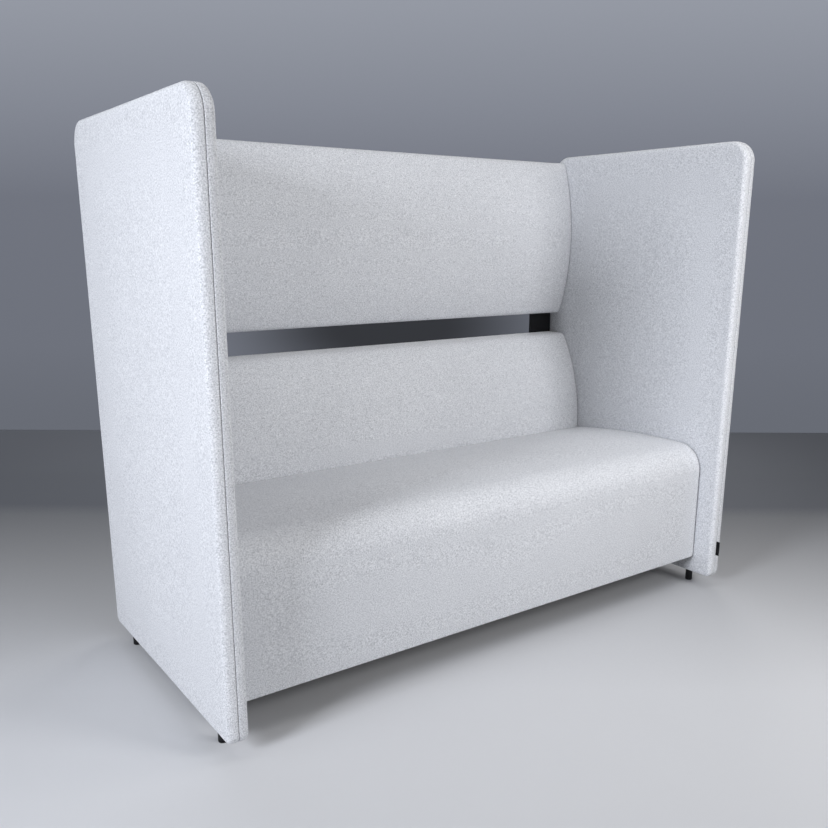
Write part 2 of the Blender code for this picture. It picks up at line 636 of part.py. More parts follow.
def upper_back_outline(inset):
    """Closed (y, z) outline of the upper back: a lens-shaped front on a flat rear."""
    low_z = UPPER_BACK_BOTTOM_HEIGHT
    high_z = UPPER_BACK_TOP_HEIGHT
    bulge = (UPPER_BACK_FRONT_Y, UPPER_BACK_BULGE_HEIGHT, UPPER_BACK_BULGE_RADIUS)
    radius = UPPER_BACK_TOP_RADIUS
    top_y, top_z, top_turn = bulge_corner(*bulge, high_z, radius)
    low_y, bottom_z, low_turn = bulge_corner(*bulge, low_z, radius)
    outline = back_rear(low_z, high_z, inset)
    outline += arc(top_y, top_z, radius - inset, math.pi / 2, top_turn, FILLET_STEPS)
    outline += arc(UPPER_BACK_FRONT_Y + UPPER_BACK_BULGE_RADIUS, UPPER_BACK_BULGE_HEIGHT,
                   UPPER_BACK_BULGE_RADIUS - inset, top_turn, low_turn, BULGE_STEPS)[1:]
    outline += arc(low_y, bottom_z, radius - inset, low_turn, math.pi * 1.5, FILLET_STEPS)[1:]
    return outline


def upright_slot(name, side, low_z, high_z):
    """Tool body for the slot or rebate that an upright passes through."""
    near = (FRAME_HALF_WIDTH - UPRIGHT_WIDTH - CLEARANCE, UPRIGHT_FRONT_Y - CLEARANCE, low_z)
    far = (FRAME_HALF_WIDTH + CLEARANCE / 2, UPRIGHT_REAR_Y + CLEARANCE, high_z)
    return cutter(name, side_box(name, side, near, far))


def make_back(label, outline, slot_low, slot_high):
    """One back: plywood board, foam and cover, slotted for the uprights."""
    name = f"{label}_cover"
    cover = piece(name, extrusion(name, outline(0.0), CUSHION_HALF_WIDTH, CUSHION_END_RADIUS),
                  "light_grey_wool")
    hollow = extrusion(f"cut_{label}_hollow", outline(COVER_THICKNESS),
                       CUSHION_HALF_WIDTH - COVER_THICKNESS, CUSHION_END_RADIUS - COVER_THICKNESS)
    cut(cover, cutter(hollow.name, hollow))
    inside = outline(LINING)
    name = f"{label}_board"
    board_outline = clip(inside, 0, BOARD_FRONT_Y, True)
    board = piece(name, extrusion(name, board_outline, BACK_CORE_HALF_WIDTH), "plywood")
    name = f"{label}_foam"
    foam_outline = clip(inside, 0, BOARD_FRONT_Y - CLEARANCE, False)
    foam = piece(name, extrusion(name, foam_outline, BACK_CORE_HALF_WIDTH), "upholstery_foam")
    for side_name, side in SIDES.items():
        slot = upright_slot(f"cut_{label}_slot_{side_name}", side, slot_low, slot_high)
        rebate_far = (FRAME_HALF_WIDTH, BACK_REAR_Y, slot_high)
        rebate_near = (FRAME_HALF_WIDTH - UPRIGHT_WIDTH - CLEARANCE, UPRIGHT_FRONT_Y - CLEARANCE, slot_low)
        rebate = f"cut_{label}_rebate_{side_name}"
        cut(cover, slot)
        cut(board, cutter(rebate, side_box(rebate, side, rebate_near, rebate_far)))
        cut(cover, HOLES[f"bolt_{label}_{side_name}"])
        cut(foam, HOLES[f"head_{label}_{side_name}"])


def make_uprights():
    """Black steel uprights: folded angles whose side flange is notched away at the open slot."""
    past = UPRIGHT_THICKNESS
    notch_low = LOWER_BACK_TOP_HEIGHT - UPRIGHT_FLANGE_MARGIN
    notch_high = UPPER_BACK_BOTTOM_HEIGHT + UPRIGHT_FLANGE_MARGIN
    inner_x = FRAME_HALF_WIDTH - UPRIGHT_WIDTH
    cuts = {
        "fold": ((inner_x - past, FLANGE_FRONT_Y - past, UPRIGHT_LOW - past),
                 (FLANGE_INNER_X, UPRIGHT_FRONT_Y, UPRIGHT_HIGH + past)),
        "notch": ((inner_x - past, FLANGE_FRONT_Y - past, notch_low),
                  (FRAME_HALF_WIDTH + past, UPRIGHT_FRONT_Y, notch_high)),
    }
    for side_name, side in SIDES.items():
        name = f"upright_{side_name}"
        mesh = side_box(name, side, (inner_x, FLANGE_FRONT_Y, UPRIGHT_LOW),
                        (FRAME_HALF_WIDTH, UPRIGHT_REAR_Y, UPRIGHT_HIGH))
        upright = piece(name, mesh, "black_steel")
        for kind, (near, far) in cuts.items():
            tool = f"cut_upright_{kind}_{side_name}"
            cut(upright, cutter(tool, side_box(tool, side, near, far)))
        for back in ("lower_back", "upper_back"):
            cut(upright, HOLES[f"bolt_{back}_{side_name}"])


def make_bolts():
    """Connecting bolts into the screens, each with its tee nut let into the screen board."""
    board_inner = INNER_X + BOARD_FACE_DEPTH
    board_outer = board_inner + SCREEN_BOARD_THICKNESS
    head = BOLT_HEAD_DIAMETER / 2
    shank = BOLT_DIAMETER / 2
    flange = TEE_NUT_FLANGE_DIAMETER / 2
    barrel = TEE_NUT_BARREL_DIAMETER / 2
    bore = BOLT_HOLE_RADIUS
    plate = TEE_NUT_FLANGE_THICKNESS
    length = plate + TEE_NUT_BARREL_LENGTH
    nut_profile = [
        (barrel, length), (barrel, plate), (flange, plate), (flange, 0.0), (bore, 0.0), (bore, length)]
    for place, side, y, z, head_x in bolt_places():
        reach = board_inner + BOLT_GRIP_IN_BOARD - head_x
        bolt_profile = [
            (0.0, BOLT_HEAD_HEIGHT + CLEARANCE), (head, BOLT_HEAD_HEIGHT + CLEARANCE), (head, CLEARANCE),
            (shank, CLEARANCE), (shank, -reach), (0.0, -reach)]
        bolt = turned(f"bolt_{place}", bolt_profile, "zinc_steel", BOLT_STEPS)
        bolt.location = (side * head_x, y, z)
        nut = turned(f"tee_nut_{place}", nut_profile, "zinc_steel", BOLT_STEPS, True)
        nut.location = (side * board_outer, y, z)
        for made in (bolt, nut):
            made.rotation_euler = (0.0, -side * math.pi / 2, 0.0)


def main():
    """Build every piece of the sofa."""
    make_screens()
    make_seam_tab()
    make_feet()
    make_seat_frame()
    make_seat_upholstery()
    gap_middle = (LOWER_BACK_TOP_HEIGHT + UPPER_BACK_BOTTOM_HEIGHT) / 2
    make_back("lower_back", lower_back_outline, UPRIGHT_LOW - CLEARANCE, gap_middle)
    make_back("upper_back", upper_back_outline, gap_middle, UPRIGHT_HIGH + CLEARANCE)
    make_uprights()
    make_bolts()


main()
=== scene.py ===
# %% [markdown]
# # A high-backed sofa, dressed
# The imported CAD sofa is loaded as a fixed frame. Its rigid pieces stay where they are and only get
# finishes. Its soft pieces are made again here as stuffed, sewn cushions, because a solid block has
# neither the give of foam nor the weave of wool. Everything is in metres, the front faces -Y, and
# each new piece keeps its place in its own mesh, so its object stays at the origin.

# %% Load the frame
import json
import math

import bmesh
import bpy
import numpy as np
from mathutils import Matrix, Vector

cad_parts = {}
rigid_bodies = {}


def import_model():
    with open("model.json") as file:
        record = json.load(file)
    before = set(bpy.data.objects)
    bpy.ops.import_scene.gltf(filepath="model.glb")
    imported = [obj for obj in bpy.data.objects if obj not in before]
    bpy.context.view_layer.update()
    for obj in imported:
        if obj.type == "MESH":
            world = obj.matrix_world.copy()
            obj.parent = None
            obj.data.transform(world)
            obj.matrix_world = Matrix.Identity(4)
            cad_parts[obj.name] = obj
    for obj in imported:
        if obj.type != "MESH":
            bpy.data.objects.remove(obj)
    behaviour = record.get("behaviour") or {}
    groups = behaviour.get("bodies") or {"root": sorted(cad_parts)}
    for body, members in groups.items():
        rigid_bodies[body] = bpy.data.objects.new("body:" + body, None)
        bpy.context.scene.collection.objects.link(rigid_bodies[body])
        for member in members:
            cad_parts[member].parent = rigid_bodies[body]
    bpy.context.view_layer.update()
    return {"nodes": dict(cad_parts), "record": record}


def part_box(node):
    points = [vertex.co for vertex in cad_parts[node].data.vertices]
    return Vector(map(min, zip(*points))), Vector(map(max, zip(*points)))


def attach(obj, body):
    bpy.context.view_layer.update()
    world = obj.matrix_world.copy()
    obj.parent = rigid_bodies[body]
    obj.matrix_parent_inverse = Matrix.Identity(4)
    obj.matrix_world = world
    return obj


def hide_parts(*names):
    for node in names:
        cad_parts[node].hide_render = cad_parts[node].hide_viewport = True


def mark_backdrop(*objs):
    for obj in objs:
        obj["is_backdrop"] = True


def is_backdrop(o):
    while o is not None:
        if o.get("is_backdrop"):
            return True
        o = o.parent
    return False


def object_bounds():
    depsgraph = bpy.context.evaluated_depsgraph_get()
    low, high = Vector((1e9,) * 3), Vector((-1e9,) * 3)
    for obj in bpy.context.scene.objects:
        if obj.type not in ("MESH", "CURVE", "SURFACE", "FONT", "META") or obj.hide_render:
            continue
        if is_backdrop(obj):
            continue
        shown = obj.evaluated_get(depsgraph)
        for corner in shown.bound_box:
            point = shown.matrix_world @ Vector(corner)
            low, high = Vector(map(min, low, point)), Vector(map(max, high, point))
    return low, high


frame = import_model()
scene = bpy.context.scene
scene.view_settings.view_transform = "Standard"

# %% [markdown]
# ## Camera
# A camera can be placed by eye, or from the lines of the photograph. Here the straight edges of the
# screens and backs gave its place, turn and lens, so the render can be laid over the picture. The
# picture's centre is not on the lens axis, which the two small shifts take up.

# %% Camera
QUARTER = math.pi / 2
CAMERA_PLACE = Vector((-1.472, -1.970, 1.103))
CAMERA_YAW = math.radians(36.061)
CAMERA_PITCH = math.radians(14.268)
CAMERA_ROLL = math.radians(0.224)
CAMERA_LENS_MM = 37.54
CAMERA_SENSOR_MM = 36.0
CAMERA_SHIFT = (-0.0175, 0.0527)


def make_camera():
    """Camera that looks along its yaw and pitch, leaning by its roll."""
    data = bpy.data.cameras.new("photo_camera")
    data.lens = CAMERA_LENS_MM
    data.sensor_width = CAMERA_SENSOR_MM
    data.shift_x, data.shift_y = CAMERA_SHIFT
    camera = bpy.data.objects.new("photo_camera", data)
    heading = Matrix.Rotation(-CAMERA_YAW, 4, "Z")
    tilt = Matrix.Rotation(QUARTER - CAMERA_PITCH, 4, "X")
    lean = Matrix.Rotation(CAMERA_ROLL, 4, "Z")
    camera.matrix_world = Matrix.Translation(CAMERA_PLACE) @ heading @ tilt @ lean
    scene.collection.objects.link(camera)
    return camera


scene.camera = make_camera()
print("camera at", tuple(round(v, 3) for v in CAMERA_PLACE))

# %% [markdown]
# ## Materials from nodes
# Every finish is a small graph of nodes around one Principled shader. Writing such graphs by hand in
# Python is long-winded, so helpers do the wiring: one makes any node and fills or links its sockets,
# and the others make the nodes used most. Values that are the same all over go straight on the shader.

# %% Node helpers
def fill(tree, made, inputs):
    """Set a node's sockets to values, or link them to other sockets."""
    for name, value in inputs.items():
        if isinstance(value, bpy.types.NodeSocket):
            tree.links.new(value, made.inputs[name])
        else:
            made.inputs[name].default_value = value


def node(tree, kind, inputs=None, output=0, **settings):
    """Make a node with its settings and inputs, and give back one of its outputs, if it has any."""
    made = tree.nodes.new(kind)
    for name, value in settings.items():
        setattr(made, name, value)
    fill(tree, made, inputs or {})
    return made.outputs[output] if made.outputs else None


def calc(tree, operation, first, second=0.0, third=0.0):
    """The result of a Math node on sockets or numbers."""
    return node(tree, "ShaderNodeMath", {0: first, 1: second, 2: third}, operation=operation)


def blend(tree, base, *weighed):
    """A base value plus other values, each times its weight."""
    for value, weight in weighed:
        base = calc(tree, "MULTIPLY_ADD", value, weight, base)
    return base


def object_place(tree):
    """The place of a point in its object, in metres."""
    return node(tree, "ShaderNodeTexCoord", output="Object")


def noise(tree, vector, scale, detail=2.0, roughness=0.5):
    """A noise value between 0 and 1, its scale in bumps for each metre."""
    return node(tree, "ShaderNodeTexNoise",
                {"Vector": vector, "Scale": scale, "Detail": detail, "Roughness": roughness}, "Fac")


def stretch(tree, vector, factors):
    """A vector scaled by three factors, which draws a pattern out into streaks."""
    return node(tree, "ShaderNodeVectorMath", {0: vector, 1: factors}, operation="MULTIPLY")


def ramp(tree, value, *stops):
    """Colours along a value: each stop is (place, linear colour)."""
    made = node(tree, "ShaderNodeValToRGB", {"Fac": value}, "Color")
    elements = made.node.color_ramp.elements
    while len(elements) < len(stops):
        elements.new(1.0)
    for element, (place, colour) in zip(elements, stops):
        element.position = place
        element.color = (*colour, 1.0)
    return made


def bump(tree, height, strength, distance):
    """Directions of a surface roughened by a height value."""
    return node(tree, "ShaderNodeBump", {"Height": height, "Strength": strength, "Distance": distance})


def start_material(name, **inputs):
    """A new material, its node tree and its Principled shader with uniform values set."""
    material = bpy.data.materials.new(name)
    material.use_nodes = True
    tree = material.node_tree
    shader = tree.nodes["Principled BSDF"]
    fill(tree, shader, {socket.replace("_", " "): value for socket, value in inputs.items()})
    return material, tree, shader


print("helpers ready")

# %% [markdown]
# ## Wool cloth
# The cover is a light grey melange wool: yarns spun from pale and darker fibres, in a plain weave with
# a soft, slightly hairy face. A picture of cloth could be tiled over it, but a procedural weave has
# no repeats and no edges. Each crossing of two yarns is the product of two sines. Noise drawn out
# along the yarns gives the streaks of single fibres, coarser noise gives the flecks that show from
# across the room, and a point attribute called rub says where hands and legs polish the nap.

# %% Wool
CLOTH_UV = "cloth"
RUB = "rub"
YARN_PITCH = 0.0013
YARN_WANDER, WANDERS_PER_METRE = 0.0011, 260.0
FIBRES_OF_WARP, FIBRES_OF_WEFT = (2600.0, 260.0, 1.0), (260.0, 2600.0, 1.0)
KNUCKLE_SHARPNESS = 0.6
FLECK_SIZE, TUFT_SIZE, CLOUD_SIZE = 0.0030, 0.0075, 0.16
HAIRS_PER_METRE = 900.0
TONE_BASE = -0.24
FIBRE_TONE, FLECK_TONE, TUFT_TONE, KNUCKLE_TONE, CLOUD_TONE = 0.40, 0.92, 0.12, 0.08, 0.06
RUB_TONE, RUBBED_FLECK_TONE = -0.03, 0.16
WOOL_TONES = ((0.26, (0.400, 0.410, 0.436)), (0.54, (0.655, 0.667, 0.695)), (0.82, (0.880, 0.890, 0.912)))
HAIR_HEIGHT, FLECK_HEIGHT = 0.55, 0.80
WOOL_RELIEF, WOOL_RELIEF_SHARE = 0.0005, 0.35
WOOL_ROUGHNESS, FIBRE_ROUGHNESS, RUB_ROUGHNESS = 0.87, 0.10, -0.10


def woven_yarn(tree, cloth, axis, wander):
    """A sine across one set of yarns, whose lines wander a little."""
    place = node(tree, "ShaderNodeSeparateXYZ", {0: cloth}, axis)
    place = blend(tree, place, (calc(tree, "SUBTRACT", wander, 0.5), YARN_WANDER))
    return calc(tree, "SINE", calc(tree, "MULTIPLY", place, math.pi / YARN_PITCH))


def make_wool():
    """Light grey melange wool, woven along the piece's own cloth coordinates."""
    material, tree, shader = start_material(
        "light_grey_wool", Sheen_Weight=0.22, Sheen_Roughness=0.55, Specular_IOR_Level=0.25)
    cloth = node(tree, "ShaderNodeUVMap", uv_map=CLOTH_UV)
    place = object_place(tree)
    wander = noise(tree, cloth, WANDERS_PER_METRE)
    warp = woven_yarn(tree, cloth, "X", wander)
    weft = woven_yarn(tree, cloth, "Y", calc(tree, "SUBTRACT", 1.0, wander))
    crossing = calc(tree, "MULTIPLY", warp, weft)
    over = calc(tree, "GREATER_THAN", crossing, 0.0)
    knuckle = calc(tree, "POWER", calc(tree, "ABSOLUTE", crossing), KNUCKLE_SHARPNESS)
    along_warp = noise(tree, stretch(tree, cloth, FIBRES_OF_WARP), scale=1.0, detail=1.0)
    along_weft = noise(tree, stretch(tree, cloth, FIBRES_OF_WEFT), scale=1.0, detail=1.0)
    fibre = node(tree, "ShaderNodeMix", {0: over, 2: along_weft, 3: along_warp}, data_type="FLOAT")
    fleck = noise(tree, place, 1.0 / FLECK_SIZE, detail=1.0)
    tuft = noise(tree, place, 1.0 / TUFT_SIZE, detail=2.0, roughness=0.6)
    cloud = noise(tree, place, 1.0 / CLOUD_SIZE)
    hair = noise(tree, place, HAIRS_PER_METRE, detail=3.0, roughness=0.7)
    rub = node(tree, "ShaderNodeAttribute", output="Fac", attribute_name=RUB)
    rubbed = blend(tree, RUB_TONE, (fleck, RUBBED_FLECK_TONE))
    tone = blend(tree, TONE_BASE, (fibre, FIBRE_TONE), (fleck, FLECK_TONE), (tuft, TUFT_TONE),
                 (knuckle, KNUCKLE_TONE), (cloud, CLOUD_TONE), (rub, rubbed))
    rough = blend(tree, WOOL_ROUGHNESS, (fibre, FIBRE_ROUGHNESS), (rub, RUB_ROUGHNESS))
    height = blend(tree, knuckle, (hair, HAIR_HEIGHT), (fleck, FLECK_HEIGHT))
    fill(tree, shader, {"Base Color": ramp(tree, tone, *WOOL_TONES), "Roughness": rough,
                        "Normal": bump(tree, height, WOOL_RELIEF_SHARE, WOOL_RELIEF)})
    return material


WOOL = make_wool()
print("wool:", len(WOOL.node_tree.nodes), "nodes")

# %% [markdown]
# ## Hard and hidden finishes
# The feet are moulded black plastic with a fine spark-eroded grain. The uprights are steel under a
# matt powder coat, whose slight orange peel is a bump of its own. Inside are birch plywood, zinc
# plated bolts, cut foam and elastic webbing. The plywood draws its layers across the board, so one
# material is made for boards that are thin in X and one for boards that are thin in Y.

# %% Hard finishes
CLOUDS_PER_GRAIN = 0.05
ROUGHNESS_SPREAD = 0.16
DARK_STOP, PALE_STOP = 0.30, 0.70
PLY_THICKNESS = 0.0014
PLY_FIGURE = (90.0, 90.0, 5.0)
PLY_LAYER_TONE = -0.22
PLY_TONES = ((0.10, (0.40, 0.27, 0.15)), (0.55, (0.66, 0.50, 0.32)), (0.85, (0.78, 0.64, 0.44)))
JET, BLACK = (0.005, 0.005, 0.006), (0.011, 0.011, 0.012)


def make_speckled(name, dark, pale, roughness, grain, depth, **sockets):
    """A finish of one colour that varies a little, with a fine grain in its surface."""
    material, tree, shader = start_material(name, **sockets)
    place = object_place(tree)
    fine = noise(tree, place, 1.0 / grain, detail=3.0, roughness=0.6)
    broad = noise(tree, place, CLOUDS_PER_GRAIN / grain)
    tone = blend(tree, 0.0, (broad, 0.5), (fine, 0.5))
    rough = blend(tree, roughness - ROUGHNESS_SPREAD / 2, (broad, ROUGHNESS_SPREAD))
    colour = ramp(tree, tone, (DARK_STOP, dark), (PALE_STOP, pale))
    fill(tree, shader, {"Base Color": colour, "Roughness": rough,
                        "Normal": bump(tree, fine, strength=0.4, distance=depth)})
    return material


def make_plywood(axis):
    """Birch plywood whose layers follow one axis: 0 for X, 1 for Y."""
    material, tree, shader = start_material(f"birch_plywood_{'xy'[axis]}", Roughness=0.62)
    place = object_place(tree)
    depth = node(tree, "ShaderNodeSeparateXYZ", {0: place}, axis)
    layer = calc(tree, "GREATER_THAN", calc(tree, "PINGPONG", depth, PLY_THICKNESS), PLY_THICKNESS / 2)
    figure = noise(tree, stretch(tree, place, PLY_FIGURE), scale=1.0, detail=3.0, roughness=0.6)
    tone = blend(tree, figure, (layer, PLY_LAYER_TONE))
    fill(tree, shader, {"Base Color": ramp(tree, tone, *PLY_TONES),
                        "Normal": bump(tree, figure, strength=0.3, distance=0.0004)})
    return material


FINISHES = {
    "upright_steel": make_speckled("black_powder_coat", JET, BLACK, 0.55, 0.0016, 0.0003,
                                   Specular_IOR_Level=0.28),
    "foot_plastic": make_speckled("black_moulded_plastic", JET, BLACK, 0.50, 0.0008, 0.0001,
                                  Specular_IOR_Level=0.30),
    "zinc_steel": make_speckled("zinc_plate", (0.52, 0.52, 0.50), (0.70, 0.70, 0.68),
                                0.34, 0.0012, 0.0001, Metallic=1.0),
    "foam": make_speckled("cut_foam", (0.70, 0.64, 0.46), (0.86, 0.82, 0.66), 0.93, 0.0018, 0.0010),
    "webbing": make_speckled("elastic_webbing", (0.030, 0.030, 0.034), (0.070, 0.070, 0.075),
                             0.85, 0.0012, 0.0005),
    "lining_fabric": make_speckled("black_lining", (0.012, 0.012, 0.013), (0.030, 0.030, 0.032),
                                   0.94, 0.0010, 0.0004),
    "tab_fabric": make_speckled("black_woven_tape", JET, (0.015, 0.015, 0.016),
                                0.88, 0.0007, 0.0003, Specular_IOR_Level=0.20),
}
PLYWOOD = {"x": make_plywood(0), "y": make_plywood(1)}
THREAD = make_speckled("grey_thread", (0.34, 0.35, 0.37), (0.52, 0.53, 0.55), 0.80, 0.0006, 0.0002)
print("finishes:", ", ".join(FINISHES))

# %% [markdown]
# ## Finishes on the CAD pieces
# The rigid CAD pieces keep their meshes. Each one's record names a material slot, so a table from
# slot to finish is all it takes. A plywood piece is asked which way it is thin.

# %% Finish the CAD pieces
def thin_way(name):
    """The axis, x or y, across which a board is thinnest."""
    low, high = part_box(name)
    size = high - low
    return "x" if size.x < size.y else "y"


for part in frame["record"]["subparts"]:
    mesh = frame["nodes"][part["node"]].data
    slot = part["material_slot"]
    if slot == "plywood":
        finish = PLYWOOD[thin_way(part["node"])]
    else:
        finish = FINISHES.get(slot, WOOL)
    mesh.materials.clear()
    mesh.materials.append(finish)

# %% [markdown]
# ## Sewing helpers
# A cushion begins as rows of points, joined to four-sided faces. Besides its place, each corner of a
# face gets a cloth coordinate in metres, so that the weave runs along the piece and round its edges
# as real cloth does. A list of rows is enough for every soft piece here.

# %% Mesh helpers
SIDES = {"left": -1, "right": 1}


def add_row(rows, points, places):
    """Append places to the points, and the numbers they get to the rows."""
    rows.append(list(range(len(points), len(points) + len(places))))
    points += places


def rows_to_faces(rows, closed):
    """Faces between neighbouring rows of point numbers; closed rows join end to start."""
    faces = []
    for lower, upper in zip(rows, rows[1:]):
        last = len(lower) if closed else len(lower) - 1
        for at in range(last):
            after = (at + 1) % len(lower)
            faces.append((lower[at], lower[after], upper[after], upper[at]))
    return faces


def at_corners(faces, cloth):
    """The cloth coordinates of points, listed for each corner of each face."""
    return [cloth[corner] for face in faces for corner in face]


def cloth_object(name, points, faces, corners, material, caps=0):
    """An object from points and faces, with cloth coordinates given for each corner of each face.

    The last faces are caps, which only show which side is outside and are then taken off.
    """
    mesh = bpy.data.meshes.new(name)
    mesh.from_pydata([tuple(p) for p in points], [], faces)
    layer = mesh.uv_layers.new(name=CLOTH_UV)
    layer.data.foreach_set("uv", np.asarray(corners, np.float32).ravel())
    bm = bmesh.new()
    bm.from_mesh(mesh)
    bmesh.ops.recalc_face_normals(bm, faces=bm.faces)
    bm.faces.ensure_lookup_table()
    bmesh.ops.delete(bm, geom=bm.faces[len(faces) - caps:], context="FACES_ONLY")
    bm.to_mesh(mesh)
    bm.free()
    mesh.shade_smooth()
    mesh.materials.append(material)
    made = bpy.data.objects.new(name, mesh)
    scene.collection.objects.link(made)
    return made


def settle(piece):
    """Turn a piece's evaluated shape into its own plain mesh."""
    graph = bpy.context.evaluated_depsgraph_get()
    mesh = bpy.data.meshes.new_from_object(piece.evaluated_get(graph), depsgraph=graph)
    old = piece.data
    piece.modifiers.clear()
    piece.data = mesh
    mesh.name = piece.name
    bpy.data.meshes.remove(old)


def sheet_object(name, points, rows, cloth, material, thickness=0.0):
    """A sheet through rows of points, with Solidify's two sides and an edge if it has a thickness."""
    faces = rows_to_faces(rows, closed=False)
    made = cloth_object(name, points, faces, at_corners(faces, cloth), material)
    if thickness:
        wall = made.modifiers.new("thickness", "SOLIDIFY")
        wall.thickness, wall.offset = thickness, 0.0
        settle(made)
    return made


def positions(mesh):
    """A mesh's points as an array of rows."""
    flat = np.empty(len(mesh.vertices) * 3)
    mesh.vertices.foreach_get("co", flat)
    return flat.reshape(-1, 3)


print("sewing helpers ready")

# %% [markdown]
# ## Side screens
# A screen is a plywood board between two foam trays, under a cover of two halves that are sewn
# together along the middle of the edge. Each half is a rounded sheet: a grid over the flat face that
# follows the corners, wide at the top and tight at the foot, then rings over the edge, down into the
# seam, and back inside to the pocket that holds the board. A bevelled box would be quicker, but has
# no grid to swell and no seam.

# %% Screen sizes
INNER_LOW, INNER_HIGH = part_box("screen_right_cover_inner")
OUTER_LOW, OUTER_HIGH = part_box("screen_right_cover_outer")
BOARD_LOW, BOARD_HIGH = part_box("screen_right_board")
TOP_CORNER = 0.060
FOOT_CORNER = 0.022
BOARD_CORNER = 0.060
INNER_FACE_X = INNER_LOW.x
OUTER_FACE_X = OUTER_HIGH.x
SEAM_X = (INNER_HIGH.x + OUTER_LOW.x) / 2
SEAM_GAP = 0.0007
# Each half's edge: how far the face falls back to it, and how deep it runs.
INNER_EDGE = (0.012, 0.013)
OUTER_EDGE = (0.010, 0.016)
SEAM_ROLL = 0.0021
POCKET_SLACK = 0.0005
FACE_STEP = 0.014
CORNER_STEPS = 10
EDGE_STEPS = 9
ROLL_STEPS = 3
HELD_RINGS = 7
print("screen:", tuple(OUTER_HIGH - OUTER_LOW), "seam at", round(SEAM_X, 4))


# %% Screen outline
def corner_points(centre, radius, turns):
    """Points of a round corner at some angles, each with its way out."""
    ways = [np.array((math.cos(turn), math.sin(turn))) for turn in turns]
    return [(centre + radius * way, way) for way in ways]


def screen_loop(foot_corner=FOOT_CORNER):
    """Round a screen's outline from its lower front corner: four sides of points and ways out."""
    corners = [np.array(place) for place in (
        (OUTER_LOW.y, OUTER_LOW.z), (OUTER_HIGH.y, OUTER_LOW.z),
        (OUTER_HIGH.y, OUTER_HIGH.z), (OUTER_LOW.y, OUTER_HIGH.z))]
    radii = (foot_corner, foot_corner, TOP_CORNER, TOP_CORNER)
    middle = (corners[0] + corners[2]) / 2
    centres = [corner + radius * np.sign(middle - corner) for corner, radius in zip(corners, radii)]
    half = CORNER_STEPS // 2
    shares = [step / half for step in range(half + 1)]
    sides = []
    for side in range(4):
        after = (side + 1) % 4
        facing = math.radians(270 + 90 * side)
        out = np.array((math.cos(facing), math.sin(facing)))
        first, last = centres[side] + radii[side] * out, centres[after] + radii[after] * out
        straight = round(np.linalg.norm(corners[after] - corners[side]) / FACE_STEP)
        row = corner_points(centres[side], radii[side],
                            [facing - QUARTER / 2 * (1 - share) for share in shares[:-1]])
        row += [(first + (last - first) * step / straight, out) for step in range(straight + 1)]
        row += corner_points(centres[after], radii[after],
                             [facing + QUARTER / 2 * share for share in shares[1:]])
        sides.append(row)
    return sides


def joined(sides):
    """One closed loop from the four sides."""
    return [pair for row in sides for pair in row[:-1]]


def spread_grid(bottom, right, top, left):
    """Fill the inside of four edge curves with a smooth grid of points."""
    across = np.linspace(0, 1, len(bottom))[None, :, None]
    up = np.linspace(0, 1, len(left))[:, None, None]
    grid = (1 - up) * bottom[None] + up * top[None] + (1 - across) * left[:, None] + across * right[:, None]
    grid -= (1 - across) * (1 - up) * bottom[0] + across * (1 - up) * bottom[-1]
    grid -= (1 - across) * up * top[0] + across * up * top[-1]
    return grid


print("screen outline of", len(joined(screen_loop())), "points")


# %% Screen halves
def edge_rings(fall, run, rim):
    """Rings over the edge of a half and into the seam, as (inset, depth) from its face."""
    rings = []
    for step in range(1, EDGE_STEPS + 1):
        turn = QUARTER * step / EDGE_STEPS
        rings.append((fall * (1 - math.sin(turn)), run * (1 - math.cos(turn))))
    rings = [ring for ring in rings if ring[1] < rim - SEAM_ROLL]
    straight = rim - SEAM_ROLL - rings[-1][1]
    inset = rings[-1][0]
    rings += [(inset * (1 - part), rings[-1][1] + straight * part) for part in (0.5, 1.0)]
    for step in range(1, ROLL_STEPS + 1):
        turn = QUARTER * step / ROLL_STEPS
        rings.append((SEAM_ROLL * (1 - math.cos(turn)), rim - SEAM_ROLL * (1 - math.sin(turn))))
    return rings


def screen_half(name, side, face_x, inward, edge, board_face_x):
    """One sewn half of a screen, from its face round the edge and the seam to the board's pocket."""
    fall, run = edge
    rim = abs(SEAM_X - face_x) - SEAM_GAP / 2
    pocket_depth = abs(board_face_x - face_x) - POCKET_SLACK
    pocket_inset = OUTER_HIGH.y - BOARD_HIGH.y - POCKET_SLACK
    sides = screen_loop()
    flat = [np.array([place - fall * way for place, way in row]) for row in sides]
    grid = spread_grid(flat[0], flat[1], flat[2][::-1], flat[3][::-1])
    tall, wide = grid.shape[:2]
    numbers = np.arange(tall * wide).reshape(tall, wide)
    rim_row = [*numbers[0, :-1], *numbers[:-1, -1], *numbers[-1, :0:-1], *numbers[:0:-1, 0]]
    cover, pocket = joined(sides), joined(screen_loop(BOARD_CORNER))
    outline = [(fall, 0.0, cover)] + [(*ring, cover) for ring in edge_rings(fall, run, rim)]
    outline += [(pocket_inset * 0.5, rim, cover), (pocket_inset, rim, pocket),
                (pocket_inset, pocket_depth, pocket)]
    points = [(face_x, y, z) for y, z in grid.reshape(-1, 2)]
    cloth = [(y, z) for y, z in grid.reshape(-1, 2)]
    rows = [rim_row]
    travelled = 0.0
    for before, (inset, depth, loop) in zip(outline, outline[1:]):
        travelled += math.hypot(inset - before[0], depth - before[1])
        add_row(rows, points, [(face_x + inward * depth, *(place - inset * way)) for place, way in loop])
        cloth += [place + (travelled - fall) * way for place, way in loop]
    faces = rows_to_faces([list(row) for row in numbers], closed=False)
    faces += rows_to_faces(rows, closed=True)
    faces.append(tuple(rows[-1]))
    points = np.array(points)
    points[:, 0] *= side
    made = cloth_object(name, points, faces, at_corners(faces, cloth), WOOL, caps=1)
    return made, np.array(rows[-HELD_RINGS:]).ravel()


